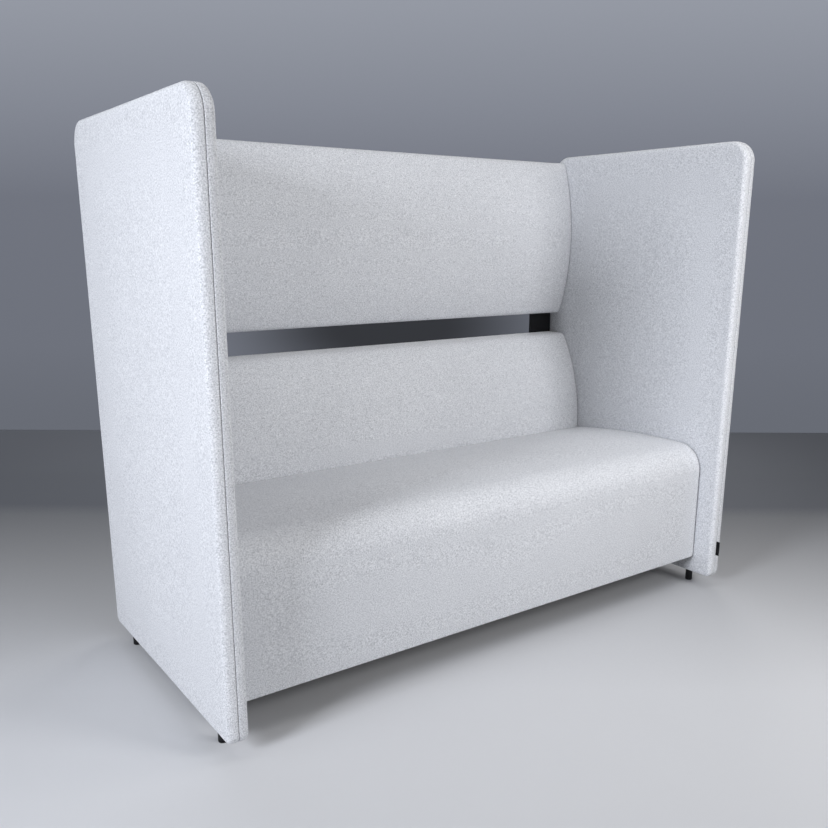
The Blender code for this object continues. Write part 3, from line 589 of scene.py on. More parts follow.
screens = {}
for side_name, side in SIDES.items():
    screens[side_name, "inner"] = screen_half(
        f"screen_{side_name}_inner_pad", side, INNER_FACE_X, 1, INNER_EDGE, BOARD_LOW.x)
    screens[side_name, "outer"] = screen_half(
        f"screen_{side_name}_outer_pad", side, OUTER_FACE_X, -1, OUTER_EDGE, BOARD_HIGH.x)
print({made.name: len(made.data.vertices) for made, _ in screens.values()})

# %% [markdown]
# ## Seat and backs
# These three cushions have one outline from end to end: an upright front that rolls over a nose into
# a slightly crowned seat, a lower back that leans away, and an upper back shaped like half a lens. An
# outline is a list of arcs joined by straight lines. Drawing it smaller near each end rounds the end
# seams. A Bevel modifier could do that too, but not with cloth coordinates that run on round it.

# %% Outline helpers
SMALLEST_ROUND = 0.0002
FEWEST_ARC_STEPS = 4
SAME_PLACE = 1e-6


def on_arc(arc, turn, inset=0.0):
    """The point at one angle of an arc (y, z, radius, from, to) that is drawn in by an inset."""
    radius = max(arc[2] - inset, SMALLEST_ROUND)
    return arc[0] + radius * math.cos(turn), arc[1] + radius * math.sin(turn)


def arc_points(arcs, inset, step):
    """Points along arcs and the lines that join them, drawn in by an inset."""
    points = []
    for number, arc in enumerate(arcs):
        _, _, radius, start, end = arc
        count = max(FEWEST_ARC_STEPS, math.ceil(abs(end - start) * radius / step))
        points += [on_arc(arc, turn, inset) for turn in np.linspace(start, end, count + 1)]
        after = arcs[(number + 1) % len(arcs)]
        gap = math.dist(on_arc(arc, end), on_arc(after, after[3]))
        first, last = np.array(points[-1]), np.array(on_arc(after, after[3], inset))
        parts = max(1, round(gap / step))
        points += [tuple(first + (last - first) * part / parts) for part in range(1, parts)]
        if gap < SAME_PLACE:
            points.pop()
    return np.array(points)


def leaning_front(front_y, middle_z, radius, edge_z, edge_radius):
    """Centre of the round between a bulged front and a level edge, and the angle where they meet."""
    way = 1 if edge_z > middle_z else -1
    z = edge_z - way * edge_radius
    centre_y = front_y + radius
    y = centre_y - math.sqrt((radius - edge_radius) ** 2 - (z - middle_z) ** 2)
    turn = math.atan2(z - middle_z, y - centre_y)
    return y, z, turn % (2 * math.pi)


def arc_radius(half_span, rise):
    """Radius of the arc that rises by a given amount over half its span."""
    return (half_span ** 2 + rise ** 2) / (2 * rise)


print("outline helpers ready")

# %% Cushion outlines
SEAT_LOW, SEAT_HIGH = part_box("seat_cover")
LOWER_LOW, LOWER_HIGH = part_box("lower_back_cover")
UPPER_LOW, UPPER_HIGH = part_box("upper_back_cover")
SEAT_DROP, LOWER_RISE, UPPER_RISE = 0.0010, 0.0055, 0.0035
SEAT_LOW.z -= SEAT_DROP
LOWER_HIGH.z += LOWER_RISE
UPPER_HIGH.z += UPPER_RISE
SEAT_CROWN, SEAT_CROWN_SETBACK, SEAT_NOSE, SEAT_EDGE = 2.600, 0.140, 0.080, 0.005
BACK_EDGE, LOWER_TOP_ROLL, UPPER_ROLL = 0.007, 0.025, 0.020
LOWER_LEAN_HEIGHT, LOWER_LEAN, UPPER_BULGE = 0.450, 0.0922, 0.0469


def seat_arcs():
    """Arcs of the seat's outline, from the lower rear edge round the heel, crown and nose."""
    crown_y, crown_z = SEAT_LOW.y + SEAT_CROWN_SETBACK, SEAT_HIGH.z - SEAT_CROWN
    nose_y, heel_y = SEAT_LOW.y + SEAT_NOSE, SEAT_HIGH.y - SEAT_EDGE
    nose_z = crown_z + math.sqrt((SEAT_CROWN - SEAT_NOSE) ** 2 - (nose_y - crown_y) ** 2)
    heel_z = crown_z + math.sqrt((SEAT_CROWN - SEAT_EDGE) ** 2 - (heel_y - crown_y) ** 2)
    nose_turn = math.atan2(nose_z - crown_z, nose_y - crown_y)
    heel_turn = math.atan2(heel_z - crown_z, heel_y - crown_y)
    low_z = SEAT_LOW.z + SEAT_EDGE
    return [(heel_y, low_z, SEAT_EDGE, -QUARTER, 0.0), (heel_y, heel_z, SEAT_EDGE, 0.0, heel_turn),
            (crown_y, crown_z, SEAT_CROWN, heel_turn, nose_turn),
            (nose_y, nose_z, SEAT_NOSE, nose_turn, math.pi),
            (SEAT_LOW.y + SEAT_EDGE, low_z, SEAT_EDGE, math.pi, 3 * QUARTER)]


def rear_arcs(low, high):
    """The two small rounds at the rear of a back."""
    y = high.y - BACK_EDGE
    return [(y, low.z + BACK_EDGE, BACK_EDGE, -QUARTER, 0.0),
            (y, high.z - BACK_EDGE, BACK_EDGE, 0.0, QUARTER)]


def lower_back_arcs():
    """Arcs of the lower back: upright behind the seat, then leaning away to a rolled top."""
    radius = arc_radius(LOWER_HIGH.z - LOWER_LEAN_HEIGHT, LOWER_LEAN)
    y, z, turn = leaning_front(LOWER_LOW.y, LOWER_LEAN_HEIGHT, radius, LOWER_HIGH.z, LOWER_TOP_ROLL)
    return rear_arcs(LOWER_LOW, LOWER_HIGH) + [
        (y, z, LOWER_TOP_ROLL, QUARTER, turn),
        (LOWER_LOW.y + radius, LOWER_LEAN_HEIGHT, radius, turn, math.pi),
        (LOWER_LOW.y + BACK_EDGE, LOWER_LOW.z + BACK_EDGE, BACK_EDGE, math.pi, 3 * QUARTER)]


def upper_back_arcs():
    """Arcs of the upper back: a bulged front between two rolled edges."""
    middle = (UPPER_LOW.z + UPPER_HIGH.z) / 2
    radius = arc_radius(UPPER_HIGH.z - middle, UPPER_BULGE)
    top_y, top_z, top_turn = leaning_front(UPPER_LOW.y, middle, radius, UPPER_HIGH.z, UPPER_ROLL)
    low_y, low_z, low_turn = leaning_front(UPPER_LOW.y, middle, radius, UPPER_LOW.z, UPPER_ROLL)
    return rear_arcs(UPPER_LOW, UPPER_HIGH) + [
        (top_y, top_z, UPPER_ROLL, QUARTER, top_turn),
        (UPPER_LOW.y + radius, middle, radius, top_turn, low_turn),
        (low_y, low_z, UPPER_ROLL, low_turn, 3 * QUARTER)]


print("seat", tuple(SEAT_HIGH - SEAT_LOW), "lower back", tuple(LOWER_HIGH - LOWER_LOW))

# %% Cushions
CUSHION_STEP = 0.013
CUSHION_SINK = 0.0008
BACK_END_ROUND, SEAT_END_ROUND = 0.006, 0.009
SEAT_END_GAP = 0.0008
END_STEPS = 4
HELD_END_ROWS = 3


def cushion(name, arcs, half_width, end_round):
    """A closed cushion of one outline, with rounded end seams and flat end panels."""
    ends = [(-half_width + end_round * (1 - math.cos(turn)), end_round * (1 - math.sin(turn)))
            for turn in np.linspace(0.0, QUARTER, END_STEPS + 1)]
    inner = half_width - end_round
    parts = round(2 * inner / CUSHION_STEP)
    middle = [(-inner + 2 * inner * part / parts, 0.0) for part in range(1, parts)]
    stations = ends + middle + [(-x, inset) for x, inset in ends[::-1]]
    base = arc_points(arcs, CUSHION_SINK, CUSHION_STEP)
    lengths = np.linalg.norm(np.roll(base, -1, 0) - base, axis=1)
    around = np.concatenate([[0.0], np.cumsum(lengths)])
    points, rows, walked = [], [], [-half_width]
    for number, (x, inset) in enumerate(stations):
        ring = arc_points(arcs, CUSHION_SINK + inset, CUSHION_STEP)
        add_row(rows, points, [(x, y, z) for y, z in ring])
        if number:
            walked.append(walked[-1] + math.dist(stations[number - 1], stations[number]))
    faces = rows_to_faces(rows, closed=True)
    corners = []
    for low, high in zip(walked, walked[1:]):
        for start, end in zip(around, around[1:]):
            corners += [(low, start), (low, end), (high, end), (high, start)]
    for row in (rows[0], rows[-1]):
        faces.append(tuple(row))
        corners += [points[corner][1:] for corner in row]
    made = cloth_object(name, points, faces, corners, WOOL, caps=2)
    return made, np.array(rows[:HELD_END_ROWS] + rows[-HELD_END_ROWS:]).ravel()


half = SEAT_HIGH.x
seat, seat_ends = cushion("seat_cushion", seat_arcs(), half - SEAT_END_GAP, SEAT_END_ROUND)
lower_back, lower_ends = cushion("lower_back_cushion", lower_back_arcs(), half, BACK_END_ROUND)
upper_back, upper_ends = cushion("upper_back_cushion", upper_back_arcs(), half, BACK_END_ROUND)
for made in (seat, lower_back, upper_back):
    print(made.name, len(made.data.vertices), "points")

# %% [markdown]
# ## Stuffing
# Foam presses a cover out between the seams that hold it. Blender's Cloth does this well: the points
# at the seams are held, a light pressure blows the rest out, and gravity is off. A balloon goes much
# further than tight upholstery, so all movement is scaled down until the furthest point has moved by
# a few millimetres. It falls to nought where a screen's face has a cushion against it.

# %% Stuffing helpers
STUFFING_FRAMES = 20
STUFFING_PRESSURE = 4.0
STUFFING_STIFFNESS = 40.0
SCREEN_SWELL = 0.0040
CUSHION_SWELL = 0.0050
FREE_RUN = 0.120
SEAT_HELD_REAR, SEAT_HELD_FOOT = 0.004, 0.012
BACK_HELD_REAR, BACK_HELD_BEHIND_SEAT = 0.012, 0.030


def held_points(piece, ends, rear_y, foot_z):
    """Numbers of the points that the end seams hold, and of those on the frame's rear and foot."""
    where = positions(piece.data)
    return np.union1d(ends, np.flatnonzero((where[:, 1] > rear_y) | (where[:, 2] < foot_z)))


def start_stuffing(piece, held):
    """Give a piece a Cloth modifier that blows it up from inside, held at some points."""
    piece.vertex_groups.new(name="held").add([int(number) for number in held], 1.0, "REPLACE")
    cloth = piece.modifiers.new("stuffing", "CLOTH")
    settings = cloth.settings
    settings.vertex_group_mass = "held"
    settings.use_pressure = True
    settings.uniform_pressure_force = STUFFING_PRESSURE
    settings.effector_weights.gravity = 0.0
    settings.tension_stiffness = settings.compression_stiffness = STUFFING_STIFFNESS
    cloth.point_cache.frame_start = 1
    cloth.point_cache.frame_end = STUFFING_FRAMES


def furthest(moves):
    """The length of the longest move."""
    return float(np.linalg.norm(moves, axis=1).max())


def smooth_step(value, low, high):
    """0 below low, 1 above high and a smooth rise between."""
    share = np.clip((value - low) / (high - low), 0.0, 1.0)
    return share * share * (3 - 2 * share)


def free_of_cushions(where):
    """1 on the open parts of a screen's inner face, falling to 0 where a cushion lies against it."""
    y, z = where[:, 1], where[:, 2]
    to_seat = np.maximum.reduce([SEAT_LOW.y - y, SEAT_LOW.z - z, z - SEAT_HIGH.z])
    to_lower = np.maximum.reduce([LOWER_LOW.y - y, LOWER_LOW.z - z, z - LOWER_HIGH.z])
    to_upper = np.maximum(UPPER_LOW.y - y, UPPER_LOW.z - z)
    return smooth_step(np.minimum.reduce([to_seat, to_lower, to_upper]), 0.0, FREE_RUN)


print("a pressure of", STUFFING_PRESSURE, "for", STUFFING_FRAMES, "frames")

# %% Stuff the cushions
swells = []
for (_, half_name), (piece, held) in screens.items():
    free = free_of_cushions(positions(piece.data)) if half_name == "inner" else 1.0
    swells.append((piece, held, SCREEN_SWELL, free))
for piece, ends, rear_y, foot_z in (
        (seat, seat_ends, SEAT_HIGH.y - SEAT_HELD_REAR, SEAT_LOW.z + SEAT_HELD_FOOT),
        (lower_back, lower_ends, LOWER_HIGH.y - BACK_HELD_REAR, SEAT_HIGH.z - BACK_HELD_BEHIND_SEAT),
        (upper_back, upper_ends, UPPER_HIGH.y - BACK_HELD_REAR, 0.0)):
    swells.append((piece, held_points(piece, ends, rear_y, foot_z), CUSHION_SWELL, 1.0))

for piece, held, _, _ in swells:
    start_stuffing(piece, held)
for step in range(1, STUFFING_FRAMES + 1):
    scene.frame_set(step)
graph = bpy.context.evaluated_depsgraph_get()
stuffed = [positions(piece.evaluated_get(graph).data) for piece, _, _, _ in swells]
for blown, (piece, _, limit, free) in zip(stuffed, swells):
    piece.modifiers.clear()
    piece.vertex_groups.clear()
    rest = positions(piece.data)
    moves = blown - rest
    eased = moves * (limit / furthest(moves)) * np.reshape(free, (-1, 1))
    piece.data.vertices.foreach_set("co", (rest + eased).ravel())
    piece.data.update()
    print(f"{piece.name} blown {furthest(moves) * 1000:.1f} mm, eased to {furthest(eased) * 1000:.2f}")
scene.frame_set(1)

# %% [markdown]
# ## Room for what is inside
# The cushions are solid foam under cloth, so the boards, uprights, bolts and threaded sleeves need
# room in them. One round of subdivision smooths a cushion first. Then Booleans take away bodies made
# of slightly larger boxes. Where a cut only grazes the cloth it leaves flaps of no thickness, which
# are trimmed. The cut faces show foam, as they would in a real cushion.

# %% Cut the rooms
ROOM_SLACK = 0.0004
SLACK = Vector((ROOM_SLACK, ROOM_SLACK, ROOM_SLACK))


def smoothed(piece):
    """Apply one round of subdivision to a piece and close its open ends."""
    modifier = piece.modifiers.new("smooth", "SUBSURF")
    modifier.levels = modifier.render_levels = 1
    settle(piece)
    bm = bmesh.new()
    bm.from_mesh(piece.data)
    bmesh.ops.holes_fill(bm, edges=[edge for edge in bm.edges if edge.is_boundary], sides=0)
    bmesh.ops.recalc_face_normals(bm, faces=bm.faces)
    bm.to_mesh(piece.data)
    bm.free()


def room_box(bm, low, high, ease_edges=0.0):
    """Add a box to the body that will be cut away."""
    made = bmesh.ops.create_cube(bm, size=1.0)["verts"]
    for vert in made:
        vert.co = [low[k] + (high[k] - low[k]) * (vert.co[k] + 0.5) for k in range(3)]
    if ease_edges:
        edges = list({edge for vert in made for edge in vert.link_edges})
        bmesh.ops.bevel(bm, geom=edges, offset=ease_edges, segments=2, profile=0.5, affect="EDGES")


def room_for(*names, ease_edges=0.0):
    """A body of boxes, each a little larger than a CAD piece."""
    bm = bmesh.new()
    for name in names:
        low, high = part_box(name)
        room_box(bm, low - SLACK, high + SLACK, ease_edges)
    return bm


def cut_room(piece, bodies):
    """Cut bodies out of a piece, one Boolean for each."""
    for bm in bodies:
        bmesh.ops.recalc_face_normals(bm, faces=bm.faces)
        mesh = bpy.data.meshes.new("room")
        bm.to_mesh(mesh)
        bm.free()
        mesh.materials.append(FINISHES["foam"])
        tool = bpy.data.objects.new("room", mesh)
        scene.collection.objects.link(tool)
        step = piece.modifiers.new("room", "BOOLEAN")
        step.operation, step.solver, step.object = "DIFFERENCE", "EXACT", tool
        step.material_mode = "TRANSFER"
        settle(piece)
        bpy.data.objects.remove(tool)
        bpy.data.meshes.remove(mesh)
    trim_flaps(piece)


def trim_flaps(piece):
    """Take away pairs of faces that a cut leaves back to back, with nothing between them."""
    bm = bmesh.new()
    bm.from_mesh(piece.data)
    bmesh.ops.triangulate(bm, faces=[face for face in bm.faces if len(face.verts) > 4])
    seen, flaps = {}, set()
    for face in bm.faces:
        other = seen.setdefault(frozenset(face.verts), face)
        if other is not face:
            flaps.update((face, other))
    bmesh.ops.delete(bm, geom=list(flaps), context="FACES")
    bm.to_mesh(piece.data)
    bm.free()


print("cutting helpers ready")

# %% Rooms in each cushion
STEEL_THICKNESS = 0.005
STEEL_ROOM = STEEL_THICKNESS + 2 * ROOM_SLACK
BOARD_ROOM_EASE = 0.005
MOUTH_REACH = 0.020
SEAT_BOLTS = ("seat_front", "seat_rear")

for (side_name, half_name), (piece, _) in screens.items():
    smoothed(piece)
    bodies = [room_for(f"foot_sleeve_front_{side_name}", f"foot_sleeve_rear_{side_name}")]
    if half_name == "inner":
        bodies.append(room_for(*(f"bolt_{place}_{side_name}"
                                 for place in (*SEAT_BOLTS, "lower_back", "upper_back"))))
    cut_room(piece, bodies)

for piece, label in ((lower_back, "lower_back"), (upper_back, "upper_back")):
    smoothed(piece)
    board = room_for(f"{label}_board", ease_edges=BOARD_ROOM_EASE)
    plates, flanges = bmesh.new(), room_for(*(f"bolt_{label}_{side_name}" for side_name in SIDES))
    for side_name, side in SIDES.items():
        low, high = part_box(f"upright_{side_name}")
        low, high = low - SLACK, high + SLACK
        room_box(plates, (low.x, high.y - STEEL_ROOM, low.z), high)
        fold = (high.x - STEEL_ROOM, high.x) if side > 0 else (low.x, low.x + STEEL_ROOM)
        room_box(flanges, (fold[0], low.y, low.z), (fold[1], high.y - STEEL_ROOM / 2, high.z))
    cut_room(piece, [board, plates, flanges])

smoothed(seat)
rails_low, rails_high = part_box("seat_rail_left")[0] - SLACK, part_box("seat_rail_right")[1] + SLACK
webbing_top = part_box("seat_webbing_1")[1].z + ROOM_SLACK
LINING_LOW, LINING_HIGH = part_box("seat_lining")
frame_room, mouth = bmesh.new(), bmesh.new()
room_box(frame_room, rails_low, (rails_high.x, rails_high.y, webbing_top), SEAT_END_ROUND)
room_box(mouth, (LINING_LOW.x, LINING_LOW.y, SEAT_LOW.z - MOUTH_REACH),
         (LINING_HIGH.x, LINING_HIGH.y, SEAT_LOW.z + MOUTH_REACH))
pegs = room_for(*(f"bolt_{place}_{side_name}" for side_name in SIDES for place in SEAT_BOLTS))
cut_room(seat, [frame_room, mouth, pegs])
screen_pads = [piece for piece, _ in screens.values()]
for piece in (seat, lower_back, upper_back, *screen_pads):
    print(piece.name, len(piece.data.polygons), "faces")

# %% [markdown]
# ## Where the nap is rubbed
# Cloth wears first where it is brushed past: along the screens' edges, over the seat's nose and where
# people sit. Each soft piece gets the rub attribute that the wool reads, as a smooth function of
# place. It is kept slight, since the sofa is nearly new.

# %% Rub
PLACES = 3
SCREEN_FRONT_RUB, SCREEN_TOP_RUB = (0.372, 0.392), (1.355, 1.378)
NOSE_PLACE, NOSE_REACH, NOSE_RUB = (SEAT_LOW.y + 0.02, 0.44), (0.04, 0.05), 0.7
SAT_Y, SAT_REACH, SAT_ABOVE, SAT_RUB = -0.07, (0.17, 0.16), 0.40, 0.45
LEANT_REACH, LEANT_RUN, LEANT_RUB = 0.18, (-0.34, -0.27), 0.4


def hill(first, second=0.0):
    """1 where both distances are nought, falling off smoothly all round."""
    return np.exp(-first ** 2 - second ** 2)


def from_place_middle(x):
    """How far each point is from the middle of its sitter's place."""
    pitch = 2 * SEAT_HIGH.x / PLACES
    return (x + SEAT_HIGH.x) % pitch - pitch / 2


def screen_rub(x, y, z):
    """Rubbed along the front and top edges."""
    return np.maximum(smooth_step(-y, *SCREEN_FRONT_RUB), smooth_step(z, *SCREEN_TOP_RUB))


def seat_rub(x, y, z):
    """Rubbed over the nose, and a little in the middle of each place."""
    nose = hill((y - NOSE_PLACE[0]) / NOSE_REACH[0], (z - NOSE_PLACE[1]) / NOSE_REACH[1])
    sat = hill(from_place_middle(x) / SAT_REACH[0], (y - SAT_Y) / SAT_REACH[1]) * (z > SAT_ABOVE)
    return np.maximum(NOSE_RUB * nose, SAT_RUB * sat)


def back_rub(x, y, z):
    """Rubbed where shoulders lean."""
    return LEANT_RUB * hill(from_place_middle(x) / LEANT_REACH) * smooth_step(-y, *LEANT_RUN)


for pieces, rubbed in ((screen_pads, screen_rub), ([seat], seat_rub), ([lower_back, upper_back], back_rub)):
    for piece in pieces:
        layer = piece.data.attributes.new(RUB, "FLOAT", "POINT")
        values = rubbed(*positions(piece.data).T)
        layer.data.foreach_set("value", values.astype(np.float32))
        print(piece.name, "rubbed up to", round(float(values.max()), 2))

# %% [markdown]
# ## Repeats along a line
# Stitches, staples and webbing bands are one small shape set out many times, which is work for
# Geometry Nodes. A tree for each makes its shape, puts it on every point of a line, makes all of them
# real and gives them a finish. What the trees have in common is made here.

# %% Tree helpers
THREAD_SIDES = 6


def new_tree(name, **inputs):
    """An empty Geometry Nodes tree with a geometry in and out, and named inputs of some kinds."""
    tree = bpy.data.node_groups.new(name, "GeometryNodeTree")
    tree.interface.new_socket("Geometry", in_out="INPUT", socket_type="NodeSocketGeometry")
    tree.interface.new_socket("Geometry", in_out="OUTPUT", socket_type="NodeSocketGeometry")
    for label, kind in inputs.items():
        tree.interface.new_socket(label, in_out="INPUT", socket_type=f"NodeSocket{kind}")
    tree.interface.new_socket("Finish", in_out="INPUT", socket_type="NodeSocketMaterial")
    return tree, node(tree, "NodeGroupInput").node.outputs


def short_line(tree, length):
    """A line along Z of some length, through the origin."""
    half_length = calc(tree, "MULTIPLY", length, 0.5)
    start = node(tree, "ShaderNodeCombineXYZ", {"Z": calc(tree, "MULTIPLY", half_length, -1.0)})
    end = node(tree, "ShaderNodeCombineXYZ", {"Z": half_length})
    return node(tree, "GeometryNodeCurvePrimitiveLine", {"Start": start, "End": end})


def round_wire(tree, curve, radius, scale=1.0):
    """A closed round wire along a curve."""
    ring = node(tree, "GeometryNodeCurvePrimitiveCircle", {"Resolution": THREAD_SIDES, "Radius": radius})
    return node(tree, "GeometryNodeCurveToMesh",
                {"Curve": curve, "Profile Curve": ring, "Scale": scale, "Fill Caps": True})


def points_along(tree, given, pivot):
    """Points on the given curve, Pitch apart, and the turn that lays a shape along it."""
    points = node(tree, "GeometryNodeResampleCurve",
                  {"Curve": given["Geometry"], "Length": given["Pitch"]}, mode="LENGTH")
    tangent = node(tree, "GeometryNodeInputTangent")
    turn = node(tree, "FunctionNodeAlignRotationToVector", {"Vector": tangent}, axis="Z", pivot_axis=pivot)
    return points, turn


def uneven(tree, given, low, high):
    """A random vector for each shape, between a lowest and a highest one."""
    return node(tree, "FunctionNodeRandomValue", {"Min": low, "Max": high, "Seed": given["Seed"]},
                data_type="FLOAT_VECTOR")


def set_out(tree, given, **sockets):
    """Put a shape on each point, make all of them real, and give them the Finish."""
    placed = node(tree, "GeometryNodeInstanceOnPoints", sockets)
    real = node(tree, "GeometryNodeRealizeInstances", {"Geometry": placed})
    finished = node(tree, "GeometryNodeSetMaterial", {"Geometry": real, "Material": given["Finish"]})
    node(tree, "NodeGroupOutput", {0: finished})
    return tree


print("tree helpers ready")

# %% [markdown]
# ## Running a Geometry Nodes tree
# A tree is only a recipe. To get a mesh out of it, a carrier object gets a Nodes modifier, each named
# input is found by its identifier and set, and the evaluated result is copied into a plain mesh. The
# carrier is a path drawn as a curve, or an empty mesh where a tree needs no path, and is then removed.

# %% Run a tree
def grow(name, tree, path=(), **values):
    """The plain mesh object that a tree makes along a closed path with some input values."""
    if path:
        drawn = bpy.data.curves.new("path", "CURVE")
        drawn.dimensions = "3D"
        spline = drawn.splines.new("POLY")
        spline.points.add(len(path) - 1)
        for place, point in zip(path, spline.points):
            point.co = (*place, 1.0)
        spline.use_cyclic_u = True
    else:
        drawn = bpy.data.meshes.new("path")
    carrier = bpy.data.objects.new("path", drawn)
    scene.collection.objects.link(carrier)
    modifier = carrier.modifiers.new("grow", "NODES")
    modifier.node_group = tree
    for item in tree.interface.items_tree:
        if item.in_out == "INPUT" and item.name in values:
            modifier[item.identifier] = values[item.name]
    graph = bpy.context.evaluated_depsgraph_get()
    mesh = bpy.data.meshes.new_from_object(carrier.evaluated_get(graph), depsgraph=graph)
    mesh.name = name
    made = bpy.data.objects.new(name, mesh)
    scene.collection.objects.link(made)
    bpy.data.objects.remove(carrier)
    bpy.data.batch_remove([drawn])
    print(name, len(mesh.polygons), "faces")
    return made


print("ready to grow trees")

# %% [markdown]
# ## Stitches
# The halves of a screen's cover are joined by a lockstitch that just shows at the bottom of the seam.
# Each stitch is a short thread, thicker in the middle, and no two are quite the same size. Drawn on
# the cloth as a picture they would lie flat, so they are real threads in the groove.

# %% Stitches
STITCH_PITCH = 0.0040
STITCH_LENGTH = 0.0030
STITCH_RADIUS = 0.00032
STITCH_DEPTH = 0.0013
STITCH_POINTS = 5
STITCH_END = 0.35
STITCH_SMALLEST, STITCH_LARGEST = (0.92, 0.92, 0.88), (1.08, 1.08, 1.08)
SEED = 7


def stitch_tree():
    """Threads along a curve: Pitch apart, each Length long and Radius thick, slightly uneven."""
    tree, given = new_tree("stitches", Pitch="Float", Length="Float", Radius="Float", Seed="Int")
    points, turn = points_along(tree, given, "X")
    line = node(tree, "GeometryNodeResampleCurve",
                {"Curve": short_line(tree, given["Length"]), "Count": STITCH_POINTS})
    hump = calc(tree, "SINE", calc(tree, "MULTIPLY", node(tree, "GeometryNodeSplineParameter"), math.pi))
    swell = node(tree, "GeometryNodeSetCurveRadius",
                 {"Curve": line, "Radius": blend(tree, STITCH_END, (hump, 1.0 - STITCH_END))})
    thread = round_wire(tree, swell, given["Radius"], node(tree, "GeometryNodeInputRadius"))
    size = uneven(tree, given, STITCH_SMALLEST, STITCH_LARGEST)
    return set_out(tree, given, Points=points, Instance=thread, Rotation=turn, Scale=size)


stitches = stitch_tree()
seam = [place - STITCH_DEPTH * way for place, way in joined(screen_loop())]
seam_stitches = [
    grow(f"seam_stitches_{side_name}", stitches, [(side * SEAM_X, y, z) for y, z in seam],
         Pitch=STITCH_PITCH, Length=STITCH_LENGTH, Radius=STITCH_RADIUS, Seed=SEED, Finish=THREAD)
    for side_name, side in SIDES.items()]

# %% [markdown]
# ## Webbing
# Six elastic bands stretched from the front rail to the rear rail carry the seat foam. Each is a flat
# strip with ribs along it, where rubber threads run in the weave. A grid lifted by a sine and then
# thickened makes one band, and the tree lays six of them side by side.

# %% Webbing
BANDS = 6
BAND_LOW, BAND_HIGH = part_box("seat_webbing_1")
BAND_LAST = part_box(f"seat_webbing_{BANDS}")[1]
BAND_GRID = (21, 40)
RIB_PITCH = 0.006
RIB_HEIGHT = 0.0002
WELD = 0.00005


def webbing_tree():
    """Count ribbed bands side by side, each Wide, Long and Thick."""
    tree, given = new_tree(
        "webbing", Count="Int", Spacing="Float", Wide="Float", Long="Float", Thick="Float")
    strip = node(tree, "GeometryNodeMeshGrid", {
        "Size X": given["Wide"], "Size Y": given["Long"],
        "Vertices X": BAND_GRID[0], "Vertices Y": BAND_GRID[1]})
    across = node(tree, "ShaderNodeSeparateXYZ", {0: node(tree, "GeometryNodeInputPosition")}, "X")
    rib = calc(tree, "SINE", calc(tree, "MULTIPLY", across, 2 * math.pi / RIB_PITCH))
    lift = node(tree, "ShaderNodeCombineXYZ", {"Z": calc(tree, "MULTIPLY", rib, RIB_HEIGHT)})
    ribbed = node(tree, "GeometryNodeSetPosition", {"Geometry": strip, "Offset": lift})
    thick = node(tree, "GeometryNodeExtrudeMesh",
                 {"Mesh": ribbed, "Offset Scale": given["Thick"], "Individual": False})
    under = node(tree, "GeometryNodeFlipFaces", {"Mesh": ribbed})
    band = node(tree, "GeometryNodeJoinGeometry", {0: thick})
    fill(tree, band.node, {0: under})
    closed = node(tree, "GeometryNodeMergeByDistance", {"Geometry": band, "Distance": WELD})
    step = node(tree, "ShaderNodeCombineXYZ", {"X": given["Spacing"]})
    line = node(tree, "GeometryNodeMeshLine", {"Count": given["Count"], "Offset": step})
    return set_out(tree, given, Points=line, Instance=closed)


BAND_SIZE = BAND_HIGH - BAND_LOW
webbing = grow("seat_webbing", webbing_tree(), Count=BANDS,
               Spacing=(BAND_LAST.x - BAND_HIGH.x) / (BANDS - 1), Wide=BAND_SIZE.x,
               Long=BAND_SIZE.y, Thick=BAND_SIZE.z - RIB_HEIGHT, Finish=FINISHES["webbing"])
webbing.data.transform(Matrix.Translation((
    (BAND_LOW.x + BAND_HIGH.x) / 2, (BAND_LOW.y + BAND_HIGH.y) / 2, BAND_LOW.z + RIB_HEIGHT)))

# %% [markdown]
# ## Lining
# The lining is one thin black sheet under the seat, pulled flat and stapled. It is a grid with a slight
# belly between the rails, thickened by Solidify so that it has two sides and an edge. The staples
# follow its edge, and each is turned a little out of line, as a staple gun leaves them.

# %% Lining and staples
LINING_THICKNESS = 0.0008
LINING_BELLY = 0.0015
LINING_BAYS = 3
BAY_FULLNESS = 0.7
LINING_CELL = 0.020
STAPLE_PITCH = 0.045
STAPLE_INSET = 0.008
STAPLE_CROWN = 0.010
STAPLE_WIRE = 0.0006
STAPLE_SKEW = 0.14


def lining_sheet():
    """A stretched sheet that bellies down a little between the seat's rails."""
    wide, deep = LINING_HIGH.x - LINING_LOW.x, LINING_HIGH.y - LINING_LOW.y
    across, along = round(wide / LINING_CELL), round(deep / LINING_CELL)
    bays = [abs(math.sin(LINING_BAYS * math.pi * at / across)) ** BAY_FULLNESS for at in range(across + 1)]
    points, rows = [], []
    for row in range(along + 1):
        belly = LINING_BELLY * math.sin(math.pi * row / along)
        y = LINING_LOW.y + row / along * deep
        add_row(rows, points, [(LINING_LOW.x + at / across * wide, y, LINING_HIGH.z - belly * bay)
                               for at, bay in enumerate(bays)])
    return sheet_object("seat_lining_sheet", points, rows, [point[:2] for point in points],
                        FINISHES["lining_fabric"], LINING_THICKNESS)


def staple_tree():
    """Wire staples along a curve: Pitch apart, each Crown long and Wire thick, a little askew."""
    tree, given = new_tree("staples", Pitch="Float", Crown="Float", Wire="Float", Seed="Int")
    points, turn = points_along(tree, given, "AUTO")
    skew = uneven(tree, given, (0.0, 0.0, -STAPLE_SKEW), (0.0, 0.0, STAPLE_SKEW))
    skewed = node(tree, "FunctionNodeRotateRotation", {"Rotation": turn, "Rotate By": skew})
    crown = round_wire(tree, short_line(tree, given["Crown"]), given["Wire"])
    return set_out(tree, given, Points=points, Instance=crown, Rotation=skewed)


